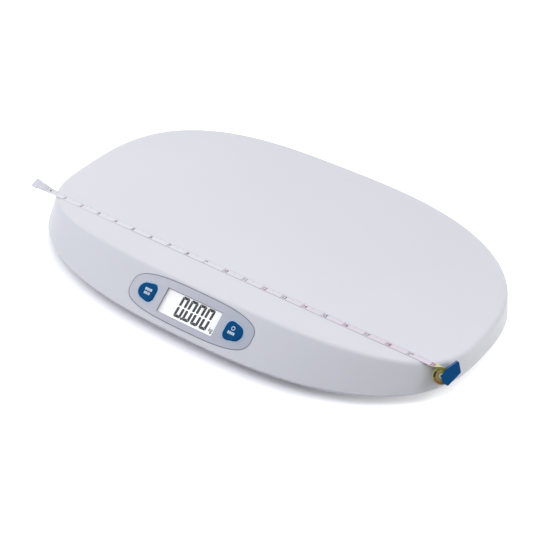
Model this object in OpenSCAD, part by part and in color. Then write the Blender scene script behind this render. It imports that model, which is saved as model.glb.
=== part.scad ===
// Digital baby weighing scale: a one-piece moulded tray on four weighing feet, with a
// sloping console in front, a battery bay below and a tape measure laid across the tray.
// Millimetres, +Z up, origin under the centre of the body on the surface it stands on.

/* [Body] */
// Length of the oval body, left to right
body_len = 540; // [500:2:580]
// Depth of the oval body, front to back
body_depth = 310; // [296:2:330]
// Fullness of the ovals in plan: 2 is an ellipse, more is squarer
oval_power = 2.85; // [2.5:0.05:3]
// Fullness of the oval at the foot of the front, where its corners are rounder
foot_power = 2.55; // [2.4:0.05:3]
// How far the wall leans in from its foot to the rim
wall_draft = 2.2; // [1.5:0.1:3.5]
// Height of the parting line between the two housings
parting_h = 14; // [13:0.5:16]
// Wall thickness of both housings
wall = 2.6; // [2.2:0.1:3]

/* [Tray] */
// Height of the lowest line of the tray
tray_floor_h = 35; // [33:0.5:38]
// Radius of the gutter that the tray is curved to, front to back
tray_radius = 570; // [520:10:700]
// Distance in plan from the front of the body back to the tray's front edge
apron_run = 41.5; // [38:0.5:45]
// Length that the rounding of the rim takes up at the front and the back
rim_round = 2.8; // [2:0.2:3.6]
// Length that the rounding of the rim takes up at the two ends
rim_end = 5; // [3:0.2:6]
// Thickness of the ribs under the tray
rib_t = 1.6; // [1.2:0.1:2.4]
// Height of the lower edges of the ribs
rib_h = 26; // [25:0.5:29]

/* [Underside] */
// Height of the flat underside
underside_h = 7; // [6.4:0.2:7.6]
// How far the rounding of the lower edge runs in
lower_round = 10; // [8:0.5:12]
// Height at which the posts of the two housings meet
post_meet_h = 20; // [18:0.5:23]
// Diameter of the housing screws
screw_d = 4; // [3:0.1:4.4]

/* [Console] */
// Length of the console panel
panel_len = 158.6; // [150:1:164]
// Width of the console panel
panel_w = 43.8; // [43:0.2:45]
// Fullness of the panel's outline
panel_power = 3.1; // [2.6:0.1:3.6]
// Distance from the crest down the slope to the panel's centre
panel_drop = 25; // [24.4:0.1:25.6]
// Thickness of the panel
panel_t = 1.4; // [1.2:0.1:2.2]
// Length of the display window
window_len = 71.5; // [66:0.5:74]
// Width of the display window
window_w = 27.5; // [25:0.5:28.5]
// Distance from the crest down the slope to the window's and buttons' centre
window_drop = 26.2; // [25.6:0.1:26.8]

/* [Buttons] */
// Distance from the end of the panel to each button's nose circle
button_in = 20.5; // [19:0.5:22]
// Radius of a button's round nose
nose_r = 9; // [8:0.2:9.6]
// Radius of a button's two inner corners
corner_r = 5; // [4:0.2:5.6]
// Distance from the nose circle to the corner circles, along the console
corner_in = 8.2; // [7:0.2:9]
// Half the distance between the corner circles
corner_half = 5.6; // [5:0.2:6]
// How far a button travels
button_travel = 0.8; // [0.5:0.1:0.9]
// Height of a button's top above the crest plane
button_proud = 0.9; // [0.5:0.1:1.2]

/* [Feet] */
// Distance of each foot's centre from the end of the body
foot_in_x = 95; // [92:1:102]
// Distance of each foot's centre from the front or back of the body
foot_in_y = 70; // [67:1:75]
// Diameter of a foot
foot_d = 34; // [30:0.5:38]
// Thickness of the rubber pad under a foot
pad_t = 2; // [1.6:0.1:2.6]
// Diameter of the stem that carries the load cell
stem_d = 10; // [8:0.2:12]
// Side of the square load cell
cell_side = 32; // [30:0.5:34]
// Thickness of the load cell's steel
cell_t = 1.5; // [1:0.1:1.8]

/* [Battery bay] */
// Distance of the bay's centre behind the middle of the body
bay_y = 40; // [36:1:46]
// Diameter of a battery
battery_d = 10.3; // [10:0.1:10.5]
// Length of a battery without its nub
battery_len = 43.7; // [43:0.1:44]
// Number of batteries side by side
battery_count = 4; // [4:1:4]
// Thickness of the battery door
door_t = 2; // [1.8:0.1:2.1]
// Diameter of the door's hinge pins
hinge_pin_d = 2; // [1.6:0.1:2.2]

/* [Tape measure] */
// Width of the tape
tape_w = 8; // [7:0.2:8.6]
// Thickness of the tape
tape_t = 0.2; // [0.15:0.05:0.3]
// Distance of the tape from the front edge of the tray
tape_in = 47.5; // [44:0.5:51]
// How far the tape's free end reaches out past the left end of the body
tape_out = 3; // [1:0.5:6]
// Radius of the tape wound on its spool
roll_r = 8.5; // [7.5:0.1:8.8]
// Diameter of the spool's hub
hub_d = 6; // [5:0.1:8]
// Diameter of the spool's pin
spool_pin_d = 2.4; // [2:0.1:3]
// Depth of the tape case, front to back
case_depth = 12; // [11.4:0.1:13]

/* [Hidden] */
$fn = 64;

// Named clearances
seam_gap = 0.4;     // between the lip of the base and the wall it fits in
fit_gap = 0.3;      // round an inset panel, lens or cap
screw_gap = 0.1;    // round a screw in its pilot hole
run_gap = 0.1;      // round a hinge pin in its bore
eps = 0.01;

// Ovals of the body
half_len = body_len / 2;
half_depth = body_depth / 2;
tray_front = half_depth - apron_run;
stations = 96;
inner_stations = 48;

// The apron: the slope between the tray's front edge and the lower edge
crest_z = tray_z(tray_front);
apron_angle = atan2(crest_z - parting_h, half_depth - tray_front);

// Housing details
floor_top = underside_h + wall;
lip_t = 1.6;
lip_rise = 5;
ledge_in = 5.5;
boss_d = 9;
post_d = 10;
screw_head_d = 7;
screw_head_t = 2.2;
head_sink = 9;
thread_len = 12;
end_post = [half_len - 38, 40];
front_post = [100, tray_front - 17.5];
rear_post = [100, half_depth - 27];
post_places = [for (s = [-1, 1]) each [
    [s * end_post[0], -end_post[1]], [s * end_post[0], end_post[1]],
    [s * front_post[0], -front_post[1]], [s * rear_post[0], rear_post[1]]]];
rib_pitch = 75;
rib_rows = [-60, 60, half_depth - 45];
rib_columns = [-2 * rib_pitch, -rib_pitch, 0, rib_pitch, 2 * rib_pitch];
rib_end_gap = 8;

// Console stack, measured out of the slope's middle plane (w) from the crest plane
bed_t = 4.6;
bed_margin = 3;
pocket_gap = 0.2;
lens_top = -2.0;
lens_t = 1.2;
lcd_top = -3.3;
lcd_t = 2.1;
holder_top = -4.9;
board_top = -9;
board_t = 1.6;
board_half = panel_len / 2 - 9.3;
board_high = -8;
board_low = -42.5;
lens_margin = 2;
lcd_margin = 1.4;
holder_wall = 1.4;
zebra_t = 1.8;
zebra_len = 62;
guide_gap = 0.6;
board_screw_d = 2.6;
board_screw_x = board_half - 4;
board_screw_high = -12;
board_screw_low = -38.6;

// Buttons and switches
button_x = panel_len / 2 - button_in;
flange_t = 1;
flange_out = 1.2;
flange_top = -2.75;
stem_bottom = -4.3;
button_stem_d = 6;
switch_side = 6;
switch_top = -5.6;
plunger_d = 3.4;
plunger_len = 2.8;

// Feet and load cells
foot_x = half_len - foot_in_x;
foot_y = half_depth - foot_in_y;
disc_gap = 0.8;
seat_side = cell_side + 10;
seat_ledge_h = 3;
seat_rise = 6;
seat_ear = 7;
ear_x = seat_side / 2 + seat_ear / 2 - 0.5;
seat_screw_d = 3;
cell_bottom = floor_top + seat_ledge_h;
cell_pin_d = 4;
cell_slot = 3;
cell_frame = 4.5;
tongue_w = 12;
foot_corners = [[-1, -1], [1, -1], [-1, 1], [1, 1]];

// Battery bay
battery_pitch = battery_d + 0.7;
bay_half_len = battery_len / 2 + 4.3;
bay_half_w = battery_count * battery_pitch / 2 + 0.6;
bay_wall = 1.6;
battery_z = underside_h + door_t + 0.3 + battery_d / 2;
bay_roof = battery_z + battery_d / 2 + 0.3;
door_half_len = bay_half_len + 3.4;
door_front = bay_y - bay_half_w - 3.2;
door_back = bay_y + bay_half_w + 3.2;
barrel_r = door_t;
hinge_set = 2.6;
hinge_y = door_back + hinge_set;
hinge_z = underside_h + door_t;
barrel_half = 18;
hinge_pin_len = 3;
door_gap = 0.4;
tab_half = 7;
tab_len = 3.5;
thumb_len = 8.5;
nub_d = 3.6;
nub_len = 0.8;
contact_t = 0.4;

// Cables: they run on the floor and rise behind the console
cable_d = 2.4;
wire_d = 1.5;
cable_z = floor_top + cable_d / 2 + 0.1;
cable_out = 8;
cable_turn = 70;
rise_y = -tray_front + 17.5;
rise_x = [24, 34];
rear_turn = 46;
rear_step = 22;
rise_drop = 8;
wire_z = 15;
wire_gap = 1.6;
wire_out = [6, 24];
socket_v = -14;
socket_size = [8, 5, 4];
socket_us = [-24, -12, 12, 24, 44];

// Tape measure: the reel hangs over the rim and leans on the front slope
tape_lift = 0.2;
tape_y = tray_front - tape_in;
tape_start = -half_len - tape_out;
tape_tilt = asin(tape_y / tray_radius);
tape_z = tray_z(tape_y) + tape_lift + tape_t / 2;
case_lean = 54;
case_turn = -53;
case_foot = [half_len - 17.5, 0.7 - tape_y, tape_z - 12.8];
case_off = 2.95;
case_wall = 1.2;
plate_t = 1.4;
// Outline of the case in its own plane, inside its wall
case_outline = [[5.3, -0.7], [8.6, 4.8], [20.5, 13.0], [22.1, 3.9], [10.4, -8.1], [7.2, -6.2]];
spool_at = [4.8, 0];
// Route of the free tape past the rim, and the way its width points there
tape_route = [for (q = [[-32, 0, 0], [-25, 0, 0.1], [-20.5, 0.2, 0.1], [-16.8, 1, 0]])
    [half_len + q[0], q[1] - tape_y, tape_z + q[2]]];
tape_width_dir = [[0, 0.99, -0.12], [0, 0.99, -0.12], [-0.1, 0.97, -0.22], [-0.3, 0.86, -0.38]];
// Free end beyond the left rim: distance from its tip, lift, and turn about its own line
tape_free = [[0, 2.6, 20], [8, 2, 20], [16, 1.4, 11], [25, 0.7, -1], [33, 0.25, -4.5]];
tape_rest = 42;
// The tab moulded on the tip
tab_grip = 8;
tab_side = 0.6;
tab_sleeve_t = 1;
tab_head = [8, 11.5, 1.6];
tab_corner_r = 1.2;

white = [0.93, 0.94, 0.96];
panel_grey = [0.74, 0.75, 0.80];
button_blue = [0.0, 0.30, 0.55];
board_green = [0.10, 0.42, 0.24];
steel = [0.72, 0.73, 0.75];
black = [0.10, 0.10, 0.11];

// ---------------------------------------------------------------- geometry functions

function tray_z(y) = tray_floor_h + tray_radius - sqrt(tray_radius * tray_radius - y * y);

// A point of an oval at angle t: half-lengths a and b, fullness p
function oval(a, b, t, p) = [
    a * sign(cos(t)) * pow(abs(cos(t)), 2 / p),
    b * sign(sin(t)) * pow(abs(sin(t)), 2 / p)
];

// Half-depth of the foot and of the crest at angle t, for a form drawn in by d
function foot_half(t, d) = sin(t) < 0 ? half_depth - d / sin(apron_angle) : half_depth - d;
function crest_half(t, d) = sin(t) < 0
    ? tray_front - d * tan(apron_angle / 2)
    : half_depth - wall_draft - d;

// Fullness of the foot at angle t, less at the front than at the back
function foot_fullness(t) = sin(t) < 0 ? foot_power : oval_power;
function foot_point(t, d, z) = let (q = oval(half_len - d, foot_half(t, d), t, foot_fullness(t))) [q[0], q[1], z];

// A point on the tray's surface, drawn in by d and a further inset e, shrunk by k to the middle
function tray_point(t, d, e, k) =
    let (q = oval(half_len - wall_draft - d - e, crest_half(t, d) - e, t, oval_power))
    [q[0] * k, q[1] * k, tray_z(q[1] * k) - d];

function unit(v) = v / norm(v);
function bend(a, c, b, s) = (1 - s) * (1 - s) * a + 2 * s * (1 - s) * c + s * s * b;

// One point of the rim's rounding, s = 0 on the wall and s = 1 on the tray
function rim_len(t) = rim_round + (rim_end - rim_round) * pow(cos(t), 2);
function rim_point(t, s) =
    let (crest = tray_point(t, 0, 0, 1), foot = foot_point(t, 0, parting_h))
    bend(crest + rim_len(t) * unit(foot - crest), crest, tray_point(t, 0, rim_len(t), 1), s);

// One point of the rounded lower edge of the base, s = 0 underneath and s = 1 at the side
function lower_point(t, s) =
    let (under = foot_flat(t, lower_round, underside_h), side = foot_flat(t, 0.5, parting_h),
         corner = foot_flat(t, 0.5, underside_h))
    bend(under, corner, side, s);
function foot_flat(t, d, z) = let (q = oval(half_len - d, half_depth - d, t, foot_fullness(t))) [q[0], q[1], z];

// Half-depth of the crest and of the foot of the apron at a distance x from the middle
function crest_y(x) = -tray_front * pow(1 - pow(abs(x) / (half_len - wall_draft), oval_power), 1 / oval_power);
function foot_y_at(x) = -half_depth * pow(1 - pow(abs(x) / half_len, foot_power), 1 / foot_power);
// Half-length of the tray at a distance y from the middle
function tray_half(y) =
    let (b = y < 0 ? tray_front : half_depth - wall_draft)
    (half_len - wall_draft) * pow(1 - pow(abs(y) / b, oval_power), 1 / oval_power);
function back_y(x) = (half_depth - wall_draft)
    * pow(1 - pow(abs(x) / (half_len - wall_draft), oval_power), 1 / oval_power);
function apron_point(x, f) =
    let (a = [x, crest_y(x), tray_z(crest_y(x))], b = [x, foot_y_at(x), parting_h])
    a + f * (b - a);

// From the console's own plane (u along, v up the slope, w outward) to the body
function from_apron(q) = [
    q[0],
    -tray_front + q[1] * cos(apron_angle) - q[2] * sin(apron_angle),
    crest_z + q[1] * sin(apron_angle) + q[2] * cos(apron_angle)
];

// Axes of the tape case's plane: along it, up it and out of it
case_n = [sin(case_lean) * cos(case_turn), sin(case_lean) * sin(case_turn), cos(case_lean)];
case_u = [-sin(case_turn), cos(case_turn), 0];
case_v = cross(case_n, case_u);
function from_case(q) = case_foot + q[0] * case_u + q[1] * case_v + q[2] * case_n;
roll_top = from_case([spool_at[0], roll_r + fit_gap + tape_t / 2, case_off + case_depth / 2]);

// ---------------------------------------------------------------- shared forms

// Closed solid through rings of equal count, from the lowest ring up, closed by a top point
module ring_form(rings, top) {
    n = len(rings[0]);
    m = len(rings);
    capped = is_undef(top);
    points = [for (ring = rings) each ring, if (!capped) top];
    sides = [for (j = [0:m - 2], i = [0:n - 1]) let (k = (i + 1) % n)
        each [[j * n + i, (j + 1) * n + i, (j + 1) * n + k], [j * n + i, (j + 1) * n + k, j * n + k]]];
    under = [[for (i = [0:n - 1]) i]];
    over = capped
        ? [[for (i = [n - 1:-1:0]) (m - 1) * n + i]]
        : [for (i = [0:n - 1]) [(m - 1) * n + (i + 1) % n, (m - 1) * n + i, m * n]];
    polyhedron(points, concat(sides, under, over));
}

function turn(n) = [for (i = [0:n - 1]) 360 * (i + 0.5) / n];

// The outside of the top housing, with the rounded rim and the curved tray
module outer_form() {
    ts = turn(stations);
    rings = concat(
        [[for (t = ts) foot_point(t, 0, parting_h)]],
        [for (s = [0:1 / 3:1]) [for (t = ts) rim_point(t, s)]],
        [for (k = [0.8, 0.6, 0.4, 0.2]) [for (t = ts) tray_point(t, 0, rim_len(t), k)]]
    );
    ring_form(rings, [0, 0, tray_floor_h]);
}

// The same form drawn in by d, for the inside of the housing and for what fits there
module inner_form(d, n, bottom) {
    ts = turn(n);
    rings = concat(
        [[for (t = ts) foot_point(t, d, bottom)]],
        [for (k = [1, 0.7, 0.4]) [for (t = ts) tray_point(t, d, 0, k)]]
    );
    ring_form(rings, [0, 0, tray_floor_h - d]);
}

// A slab of the apron between two levels w0 and w1 out of its surface
module apron_slab(w0, w1) {
    span = panel_len / 2 + 12;
    xs = [-span:span / 9:span + eps];
    out = [0, -sin(apron_angle), cos(apron_angle)];
    rings = [for (x = xs) [
        apron_point(x, 1.15) + w0 * out, apron_point(x, -0.15) + w0 * out,
        apron_point(x, -0.15) + w1 * out, apron_point(x, 1.15) + w1 * out]];
    ring_form(rings);
}

module on_apron() {
    translate([0, -tray_front, crest_z]) rotate([apron_angle, 0, 0]) children();
}

// A box in the console's plane, centred on u = 0 and v = -window_drop, from w0 to w1
module console_box(len, wide, w0, w1) {
    translate([-len / 2, -window_drop - wide / 2, w0]) cube([len, wide, w1 - w0]);
}

module panel_outline(grow) {
    polygon([for (i = [0:71]) oval(panel_len / 2 + grow, panel_w / 2 + grow, i * 5, panel_power)]);
}

module panel_prism(grow) {
    on_apron() translate([0, -panel_drop, -16]) linear_extrude(32) panel_outline(grow);
}

// Outline of a button: a round nose and two round inner corners, joined by their tangents
module button_outline(grow) {
    r1 = nose_r + grow;
    r2 = corner_r + grow;
    d = norm([corner_in, corner_half]);
    a = atan2(corner_half, corner_in) + acos((r1 - r2) / d);
    tip = r1 * [cos(a), sin(a)];
    top = [corner_in, corner_half] + r2 * [cos(a), sin(a)];
    circle(r = r1);
    for (s = [-1, 1]) translate([corner_in, s * corner_half]) circle(r = r2);
    polygon([[tip[0], -tip[1]], [top[0], -top[1]], [corner_in + r2, -corner_half],
             [corner_in + r2, corner_half], top, tip]);
}

// Places something at the left (side = -1) or right (side = 1) button
module at_button(side) {
    on_apron() translate([side * button_x, -window_drop + 0.5, 0])
        mirror([side > 0 ? 1 : 0, 0, 0]) children();
}

module at_foot(corner) {
    translate([corner[0] * foot_x, corner[1] * foot_y, 0]) children();
}

// A route with its inner corners eased by a curve that starts r before each corner
function eased(route, r) = [
    route[0],
    for (i = [1:len(route) - 2])
        let (a = route[i], to = unit(route[i - 1] - a), on = unit(route[i + 1] - a))
        for (s = [0, 0.5, 1]) bend(a + r * to, a, a + r * on, s),
    route[len(route) - 1]
];

// Side vectors carried along the route without twist
function carried(route, i, side) = i == 0 ? side :
    let (s = carried(route, i - 1, side),
         along = unit(route[min(i + 1, len(route) - 1)] - route[i - 1]))
    unit(s - (s * along) * along);

// A round wire or cable along a route, as one tube
module wire(points, d, side) {
    route = eased(points, 3 * d);
    n = len(route);
    rings = [for (i = [0:n - 1])
        let (along = unit(route[min(i + 1, n - 1)] - route[max(i - 1, 0)]),
             s0 = carried(route, i, side), a = unit(s0 - (s0 * along) * along), b = cross(along, a))
        [for (k = [0:7]) route[i] + d / 2 * (cos(45 * k) * a + sin(45 * k) * b)]];
    ring_form(rings);
}

module on_case() {
    translate(case_foot) rotate([0, case_lean, case_turn]) rotate([0, 0, 90]) children();
}

// ---------------------------------------------------------------- housings

module tray_ribs() {
    difference() {
        union() {
            for (y = rib_rows) translate([rib_end_gap - tray_half(y), y - rib_t / 2, rib_h])
                cube([2 * (tray_half(y) - rib_end_gap), rib_t, 60 - rib_h]);
            for (x = rib_columns) translate([x - rib_t / 2, crest_y(x) + 2 * rib_end_gap, rib_h])
                cube([rib_t, back_y(x) - crest_y(x) - 3 * rib_end_gap, 60 - rib_h]);
        }
        translate([-half_len, 0, tray_floor_h + tray_radius]) rotate([0, 90, 0])
            cylinder(r = tray_radius + wall / 2, h = body_len, $fn = 200);
    }
}

module housing_bosses() {
    for (p = post_places) translate([p[0], p[1], post_meet_h])
        cylinder(d = boss_d, h = tray_z(p[1]) - wall / 2 - post_meet_h);
}

// The thick bed under the console panel, with the bosses that carry the board
module console_bed() {
    intersection() {
        panel_prism(bed_margin);
        apron_slab(-bed_t, -wall / 2);
        translate([-half_len, -half_depth, parting_h + 0.6]) cube([body_len, half_depth, 60]);
    }
    on_apron() for (u = [-board_screw_x, board_screw_x], v = [board_screw_high, board_screw_low])
        translate([u, v, board_top]) cylinder(d = board_screw_d + 3.4, h = -board_top - wall);
}

module top_housing() {
    color(white) difference() {
        union() {
            difference() {
                outer_form();
                inner_form(wall, inner_stations, parting_h - 1);
            }
            tray_ribs();
            housing_bosses();
            console_bed();
        }
        intersection() {
            panel_prism(fit_gap);
            apron_slab(-panel_t - pocket_gap, 12);
        }
        on_apron() console_box(window_len + 2 * lens_margin + 2 * fit_gap,
                               window_w + 2 * lens_margin + 2 * fit_gap, -bed_t - 4, 0);
        for (side = [-1, 1]) at_button(side)
            translate([0, 0, -bed_t - 4]) linear_extrude(bed_t + 4)
                button_outline(flange_out + fit_gap);
        for (p = post_places) translate([p[0], p[1], post_meet_h - eps])
            cylinder(d = screw_d + 2 * screw_gap, h = thread_len + 0.5);
        on_apron() for (u = [-board_screw_x, board_screw_x], v = [board_screw_high, board_screw_low])
            translate([u, v, board_top - eps]) cylinder(d = board_screw_d + 2 * screw_gap, h = 4.6, $fn = 24);
    }
}

// The lip that stands up inside the wall of the top housing, cut away under the console
module base_lip() {
    difference() {
        intersection() {
            inner_form(wall + seam_gap, inner_stations, parting_h - 2);
            translate([-half_len, -half_depth, parting_h - 1.5])
                cube([body_len, body_depth, lip_rise + 1.5]);
        }
        inner_form(wall + seam_gap + lip_t, inner_stations, parting_h - 3);
        translate([-panel_len / 2 - 8, -half_depth, parting_h]) cube([panel_len + 16, half_depth / 2, 20]);
    }
}

module bay_block() {
    translate([-door_half_len - 4, door_front - thumb_len - 2, underside_h])
        cube([2 * door_half_len + 8, hinge_y + 6 - door_front + thumb_len + 2, wall + 2.4]);
    translate([-bay_half_len - bay_wall, bay_y - bay_half_w - bay_wall, underside_h])
        cube([2 * (bay_half_len + bay_wall), 2 * (bay_half_w + bay_wall), bay_roof + bay_wall - underside_h]);
}

module bay_cuts() {
    // recess for the door
    translate([-door_half_len - door_gap, door_front - door_gap, underside_h - 1])
        cube([2 * (door_half_len + door_gap), hinge_y - 1.2 - door_front + door_gap, door_t + 1.2]);
    // space for the batteries
    translate([-bay_half_len, bay_y - bay_half_w, underside_h])
        cube([2 * bay_half_len, 2 * bay_half_w, bay_roof - underside_h]);
    // notch for the hinge barrel
    translate([-barrel_half - door_gap, hinge_y - barrel_r - 1, underside_h - 1])
        cube([2 * (barrel_half + door_gap), 2 * barrel_r + 1.7, hinge_z + barrel_r + 0.7 - underside_h + 1]);
    // thumb notch in front of the door
    translate([-tab_half - 1, door_front - thumb_len, underside_h - 1])
        cube([2 * tab_half + 2, thumb_len + 1, door_t + 1]);
}

// Room that the front of the base leaves for the board and what it carries
module console_room() {
    on_apron() translate([-board_half - 1, board_low - 1, board_top - board_t - 1])
        cube([2 * board_half + 2, board_high - board_low + 2, board_t + 5]);
}

module base_housing() {
    ts = turn(stations);
    tin = turn(inner_stations);
    color(white) difference() {
        union() {
            difference() {
                ring_form([for (s = [0, 0.25, 0.5, 0.75, 1]) [for (t = ts) lower_point(t, s)]]);
                ring_form([
                    [for (t = tin) foot_flat(t, lower_round + 2, floor_top)],
                    [for (t = tin) foot_flat(t, ledge_in + 4, parting_h + 1)]
                ]);
            }
            base_lip();
            bay_block();
            for (p = post_places) translate([p[0], p[1], underside_h])
                cylinder(d = post_d, h = post_meet_h - underside_h);
        }
        bay_cuts();
        console_room();
        for (p = post_places) translate([p[0], p[1], 0]) {
            translate([0, 0, underside_h - 1]) cylinder(d = screw_head_d + 0.6, h = head_sink + 1);
            translate([0, 0, underside_h]) cylinder(d = screw_d + 0.6, h = post_meet_h);
        }
        for (c = foot_corners) at_foot(c) {
            translate([0, 0, underside_h - 1]) cylinder(d = stem_d + 3, h = wall + 2);
            for (s = [-1, 1]) translate([s * ear_x, 0, underside_h + 1])
                cylinder(d = seat_screw_d + 2 * screw_gap, h = wall, $fn = 32);
        }
    }
    color(white) for (s = [-1, 1])
        translate([s > 0 ? barrel_half + door_gap - hinge_pin_len : -barrel_half - door_gap - 1, hinge_y, hinge_z])
            rotate([0, 90, 0]) cylinder(d = hinge_pin_d, h = hinge_pin_len + 1, $fn = 32);
}

module housing_screws() {
    color(steel) for (p = post_places) translate([p[0], p[1], underside_h + head_sink - screw_head_t]) {
        cylinder(d = screw_head_d, h = screw_head_t);
        cylinder(d = screw_d, h = post_meet_h + thread_len - underside_h - head_sink + screw_head_t);
    }
}

// ---------------------------------------------------------------- console

module console_panel() {
    color(panel_grey) difference() {
        intersection() {
            panel_prism(0);
            apron_slab(-panel_t, 0.1);
        }
        on_apron() console_box(window_len, window_w, -6, 6);
        for (side = [-1, 1]) at_button(side)
            translate([0, 0, -6]) linear_extrude(12) button_outline(fit_gap);
    }
}

module display_lens() {
    color([0.9, 0.94, 0.95, 0.5]) on_apron()
        console_box(window_len + 2 * lens_margin, window_w + 2 * lens_margin, lens_top - lens_t, lens_top);
}

module lcd_panel() {
    color([0.86, 0.88, 0.88]) on_apron()
        console_box(window_len + 2 * lcd_margin, window_w + 2 * lcd_margin, lcd_top - lcd_t, lcd_top);
}

module light_guide() {
    color([0.96, 0.97, 0.97]) on_apron()
        console_box(window_len, window_w + 2 * lcd_margin - 2 * zebra_t - 3,
                    board_top, lcd_top - lcd_t - pocket_gap);
}

zebra_v = window_w / 2 + lcd_margin - zebra_t / 2 - 0.4;

module zebra_strips() {
    color([0.85, 0.55, 0.65]) on_apron() for (s = [-1, 1])
        translate([-zebra_len / 2, -window_drop + s * zebra_v - zebra_t / 2, board_top])
            cube([zebra_len, zebra_t, lcd_top - lcd_t - board_top]);
}

module display_holder() {
    color([0.9, 0.9, 0.88]) on_apron() difference() {
        console_box(window_len + 2 * lcd_margin + 2 * pocket_gap + 2 * holder_wall,
                    window_w + 2 * lcd_margin + 2 * pocket_gap + 2 * holder_wall, board_top, holder_top);
        console_box(window_len + 2 * lcd_margin + 2 * pocket_gap,
                    window_w + 2 * lcd_margin + 2 * pocket_gap, lcd_top - lcd_t, 0);
        console_box(window_len + guide_gap, window_w + 2 * lcd_margin - 2 * zebra_t - 3 + guide_gap,
                    board_top - 1, 0);
        for (s = [-1, 1]) translate([-zebra_len / 2 - 0.2, -window_drop + s * zebra_v - zebra_t / 2 - 0.1,
                                     board_top - 1])
            cube([zebra_len + 0.4, zebra_t + 0.2, 12]);
    }
}

module main_board() {
    color(board_green) on_apron() difference() {
        translate([-board_half, board_low, board_top - board_t])
            cube([2 * board_half, board_high - board_low, board_t]);
        for (u = [-board_screw_x, board_screw_x], v = [board_screw_high, board_screw_low])
            translate([u, v, board_top - board_t - 1])
                cylinder(d = board_screw_d + 0.4, h = board_t + 2, $fn = 24);
    }
}

// Chips and parts on the back of the board: [u, v, length, width, height]
board_parts = [[-8, -33, 12, 12, 2.2], [20, -34, 9, 7, 1.6], [36, -30, 6, 4, 1.8], [-32, -32, 7, 5, 1.8]];
capacitors = [[50, -32, 5, 6], [-50, -30, 5, 6]];

module board_components() {
    color(black) on_apron() {
        for (p = board_parts) translate([p[0] - p[2] / 2, p[1] - p[3] / 2, board_top - board_t - p[4]])
            cube([p[2], p[3], p[4]]);
        for (p = capacitors) translate([p[0], p[1], board_top - board_t - p[3]])
            cylinder(d = p[2], h = p[3], $fn = 32);
    }
}

module board_sockets() {
    color([0.93, 0.92, 0.86]) on_apron() for (u = socket_us)
        translate([u - socket_size[0] / 2, socket_v - socket_size[1] / 2, board_top - board_t - socket_size[2]])
            difference() {
                cube(socket_size);
                translate([1, 1, -1]) cube([socket_size[0] - 2, socket_size[1] - 2, socket_size[2]]);
            }
}

module board_screws() {
    color(steel) on_apron() for (u = [-board_screw_x, board_screw_x], v = [board_screw_high, board_screw_low])
        translate([u, v, board_top - board_t]) {
            cylinder(d = board_screw_d, h = board_t + 4, $fn = 24);
            translate([0, 0, -1.6]) cylinder(d = board_screw_d + 2.2, h = 1.6, $fn = 24);
        }
}

module button_body(side) {
    color(button_blue) at_button(side) {
        translate([0, 0, flange_top]) linear_extrude(button_proud - 0.3 - flange_top) button_outline(0);
        translate([0, 0, button_proud - 0.4]) linear_extrude(0.4) button_outline(-0.5);
        translate([0, 0, flange_top - flange_t]) linear_extrude(flange_t) button_outline(flange_out);
        translate([corner_in / 2, 0, stem_bottom]) cylinder(d = button_stem_d, h = 1);
    }
}

module plunger(side) {
    color(black) at_button(side) translate([corner_in / 2, 0, stem_bottom - plunger_len])
        cylinder(d = plunger_d, h = plunger_len, $fn = 32);
}

module switch_body(side) {
    color(steel) at_button(side) difference() {
        translate([corner_in / 2 - switch_side / 2, -switch_side / 2, board_top])
            cube([switch_side, switch_side, switch_top - board_top]);
        translate([corner_in / 2, 0, stem_bottom - plunger_len - button_travel - 0.3])
            cylinder(d = plunger_d + 2 * fit_gap, h = 8, $fn = 32);
    }
}

module left_button() button_body(-1);
module right_button() button_body(1);
module left_plunger() plunger(-1);
module right_plunger() plunger(1);
module left_switch() switch_body(-1);
module right_switch() switch_body(1);

// ---------------------------------------------------------------- weighing feet

// Stamped steel plate: an outer frame, an E-shaped slot and the tongue that bends
module load_cell(corner) {
    inner = cell_side / 2 - cell_frame;
    color(steel) at_foot(corner) translate([0, 0, cell_bottom]) difference() {
        translate([-cell_side / 2, -cell_side / 2, 0]) cube([cell_side, cell_side, cell_t]);
        for (s = [-1, 1]) translate([s * (tongue_w / 2 + cell_slot / 2) - cell_slot / 2, -inner, -1])
            cube([cell_slot, 2 * inner, cell_t + 2]);
        translate([-tongue_w / 2 - cell_slot, -inner, -1])
            cube([tongue_w + 2 * cell_slot, cell_slot, cell_t + 2]);
        translate([0, 0, -1]) cylinder(d = cell_pin_d + 0.3, h = cell_t + 2, $fn = 32);
    }
}

// Plastic seat that holds the load cell's frame on the floor of the base
module cell_seat(corner) {
    color([0.86, 0.87, 0.88]) at_foot(corner) translate([0, 0, floor_top]) difference() {
        union() {
            translate([-seat_side / 2, -seat_side / 2, 0]) cube([seat_side, seat_side, seat_rise]);
            for (s = [-1, 1]) translate([s * ear_x, 0, 0])
                cylinder(d = seat_ear, h = seat_ledge_h);
        }
        translate([-cell_side / 2 - fit_gap, -cell_side / 2 - fit_gap, seat_ledge_h])
            cube([cell_side + 2 * fit_gap, cell_side + 2 * fit_gap, seat_rise]);
        translate([-cell_side / 2 + cell_frame - 1.5, -cell_side / 2 + cell_frame - 1.5, -1])
            cube([cell_side - 2 * cell_frame + 3, cell_side - 2 * cell_frame + 3, seat_rise + 2]);
        for (s = [-1, 1]) translate([s * ear_x, 0, -1])
            cylinder(d = seat_screw_d + 0.4, h = seat_rise + 2, $fn = 32);
    }
}

module seat_screws() {
    color(steel) for (c = foot_corners, s = [-1, 1]) at_foot(c)
        translate([s * ear_x, 0, underside_h + 1.2]) {
            cylinder(d = seat_screw_d, h = floor_top + seat_ledge_h - underside_h - 1.2, $fn = 32);
            translate([0, 0, floor_top + seat_ledge_h - underside_h - 1.2])
                cylinder(d = seat_screw_d + 2.4, h = 1.5, $fn = 32);
        }
}

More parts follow.
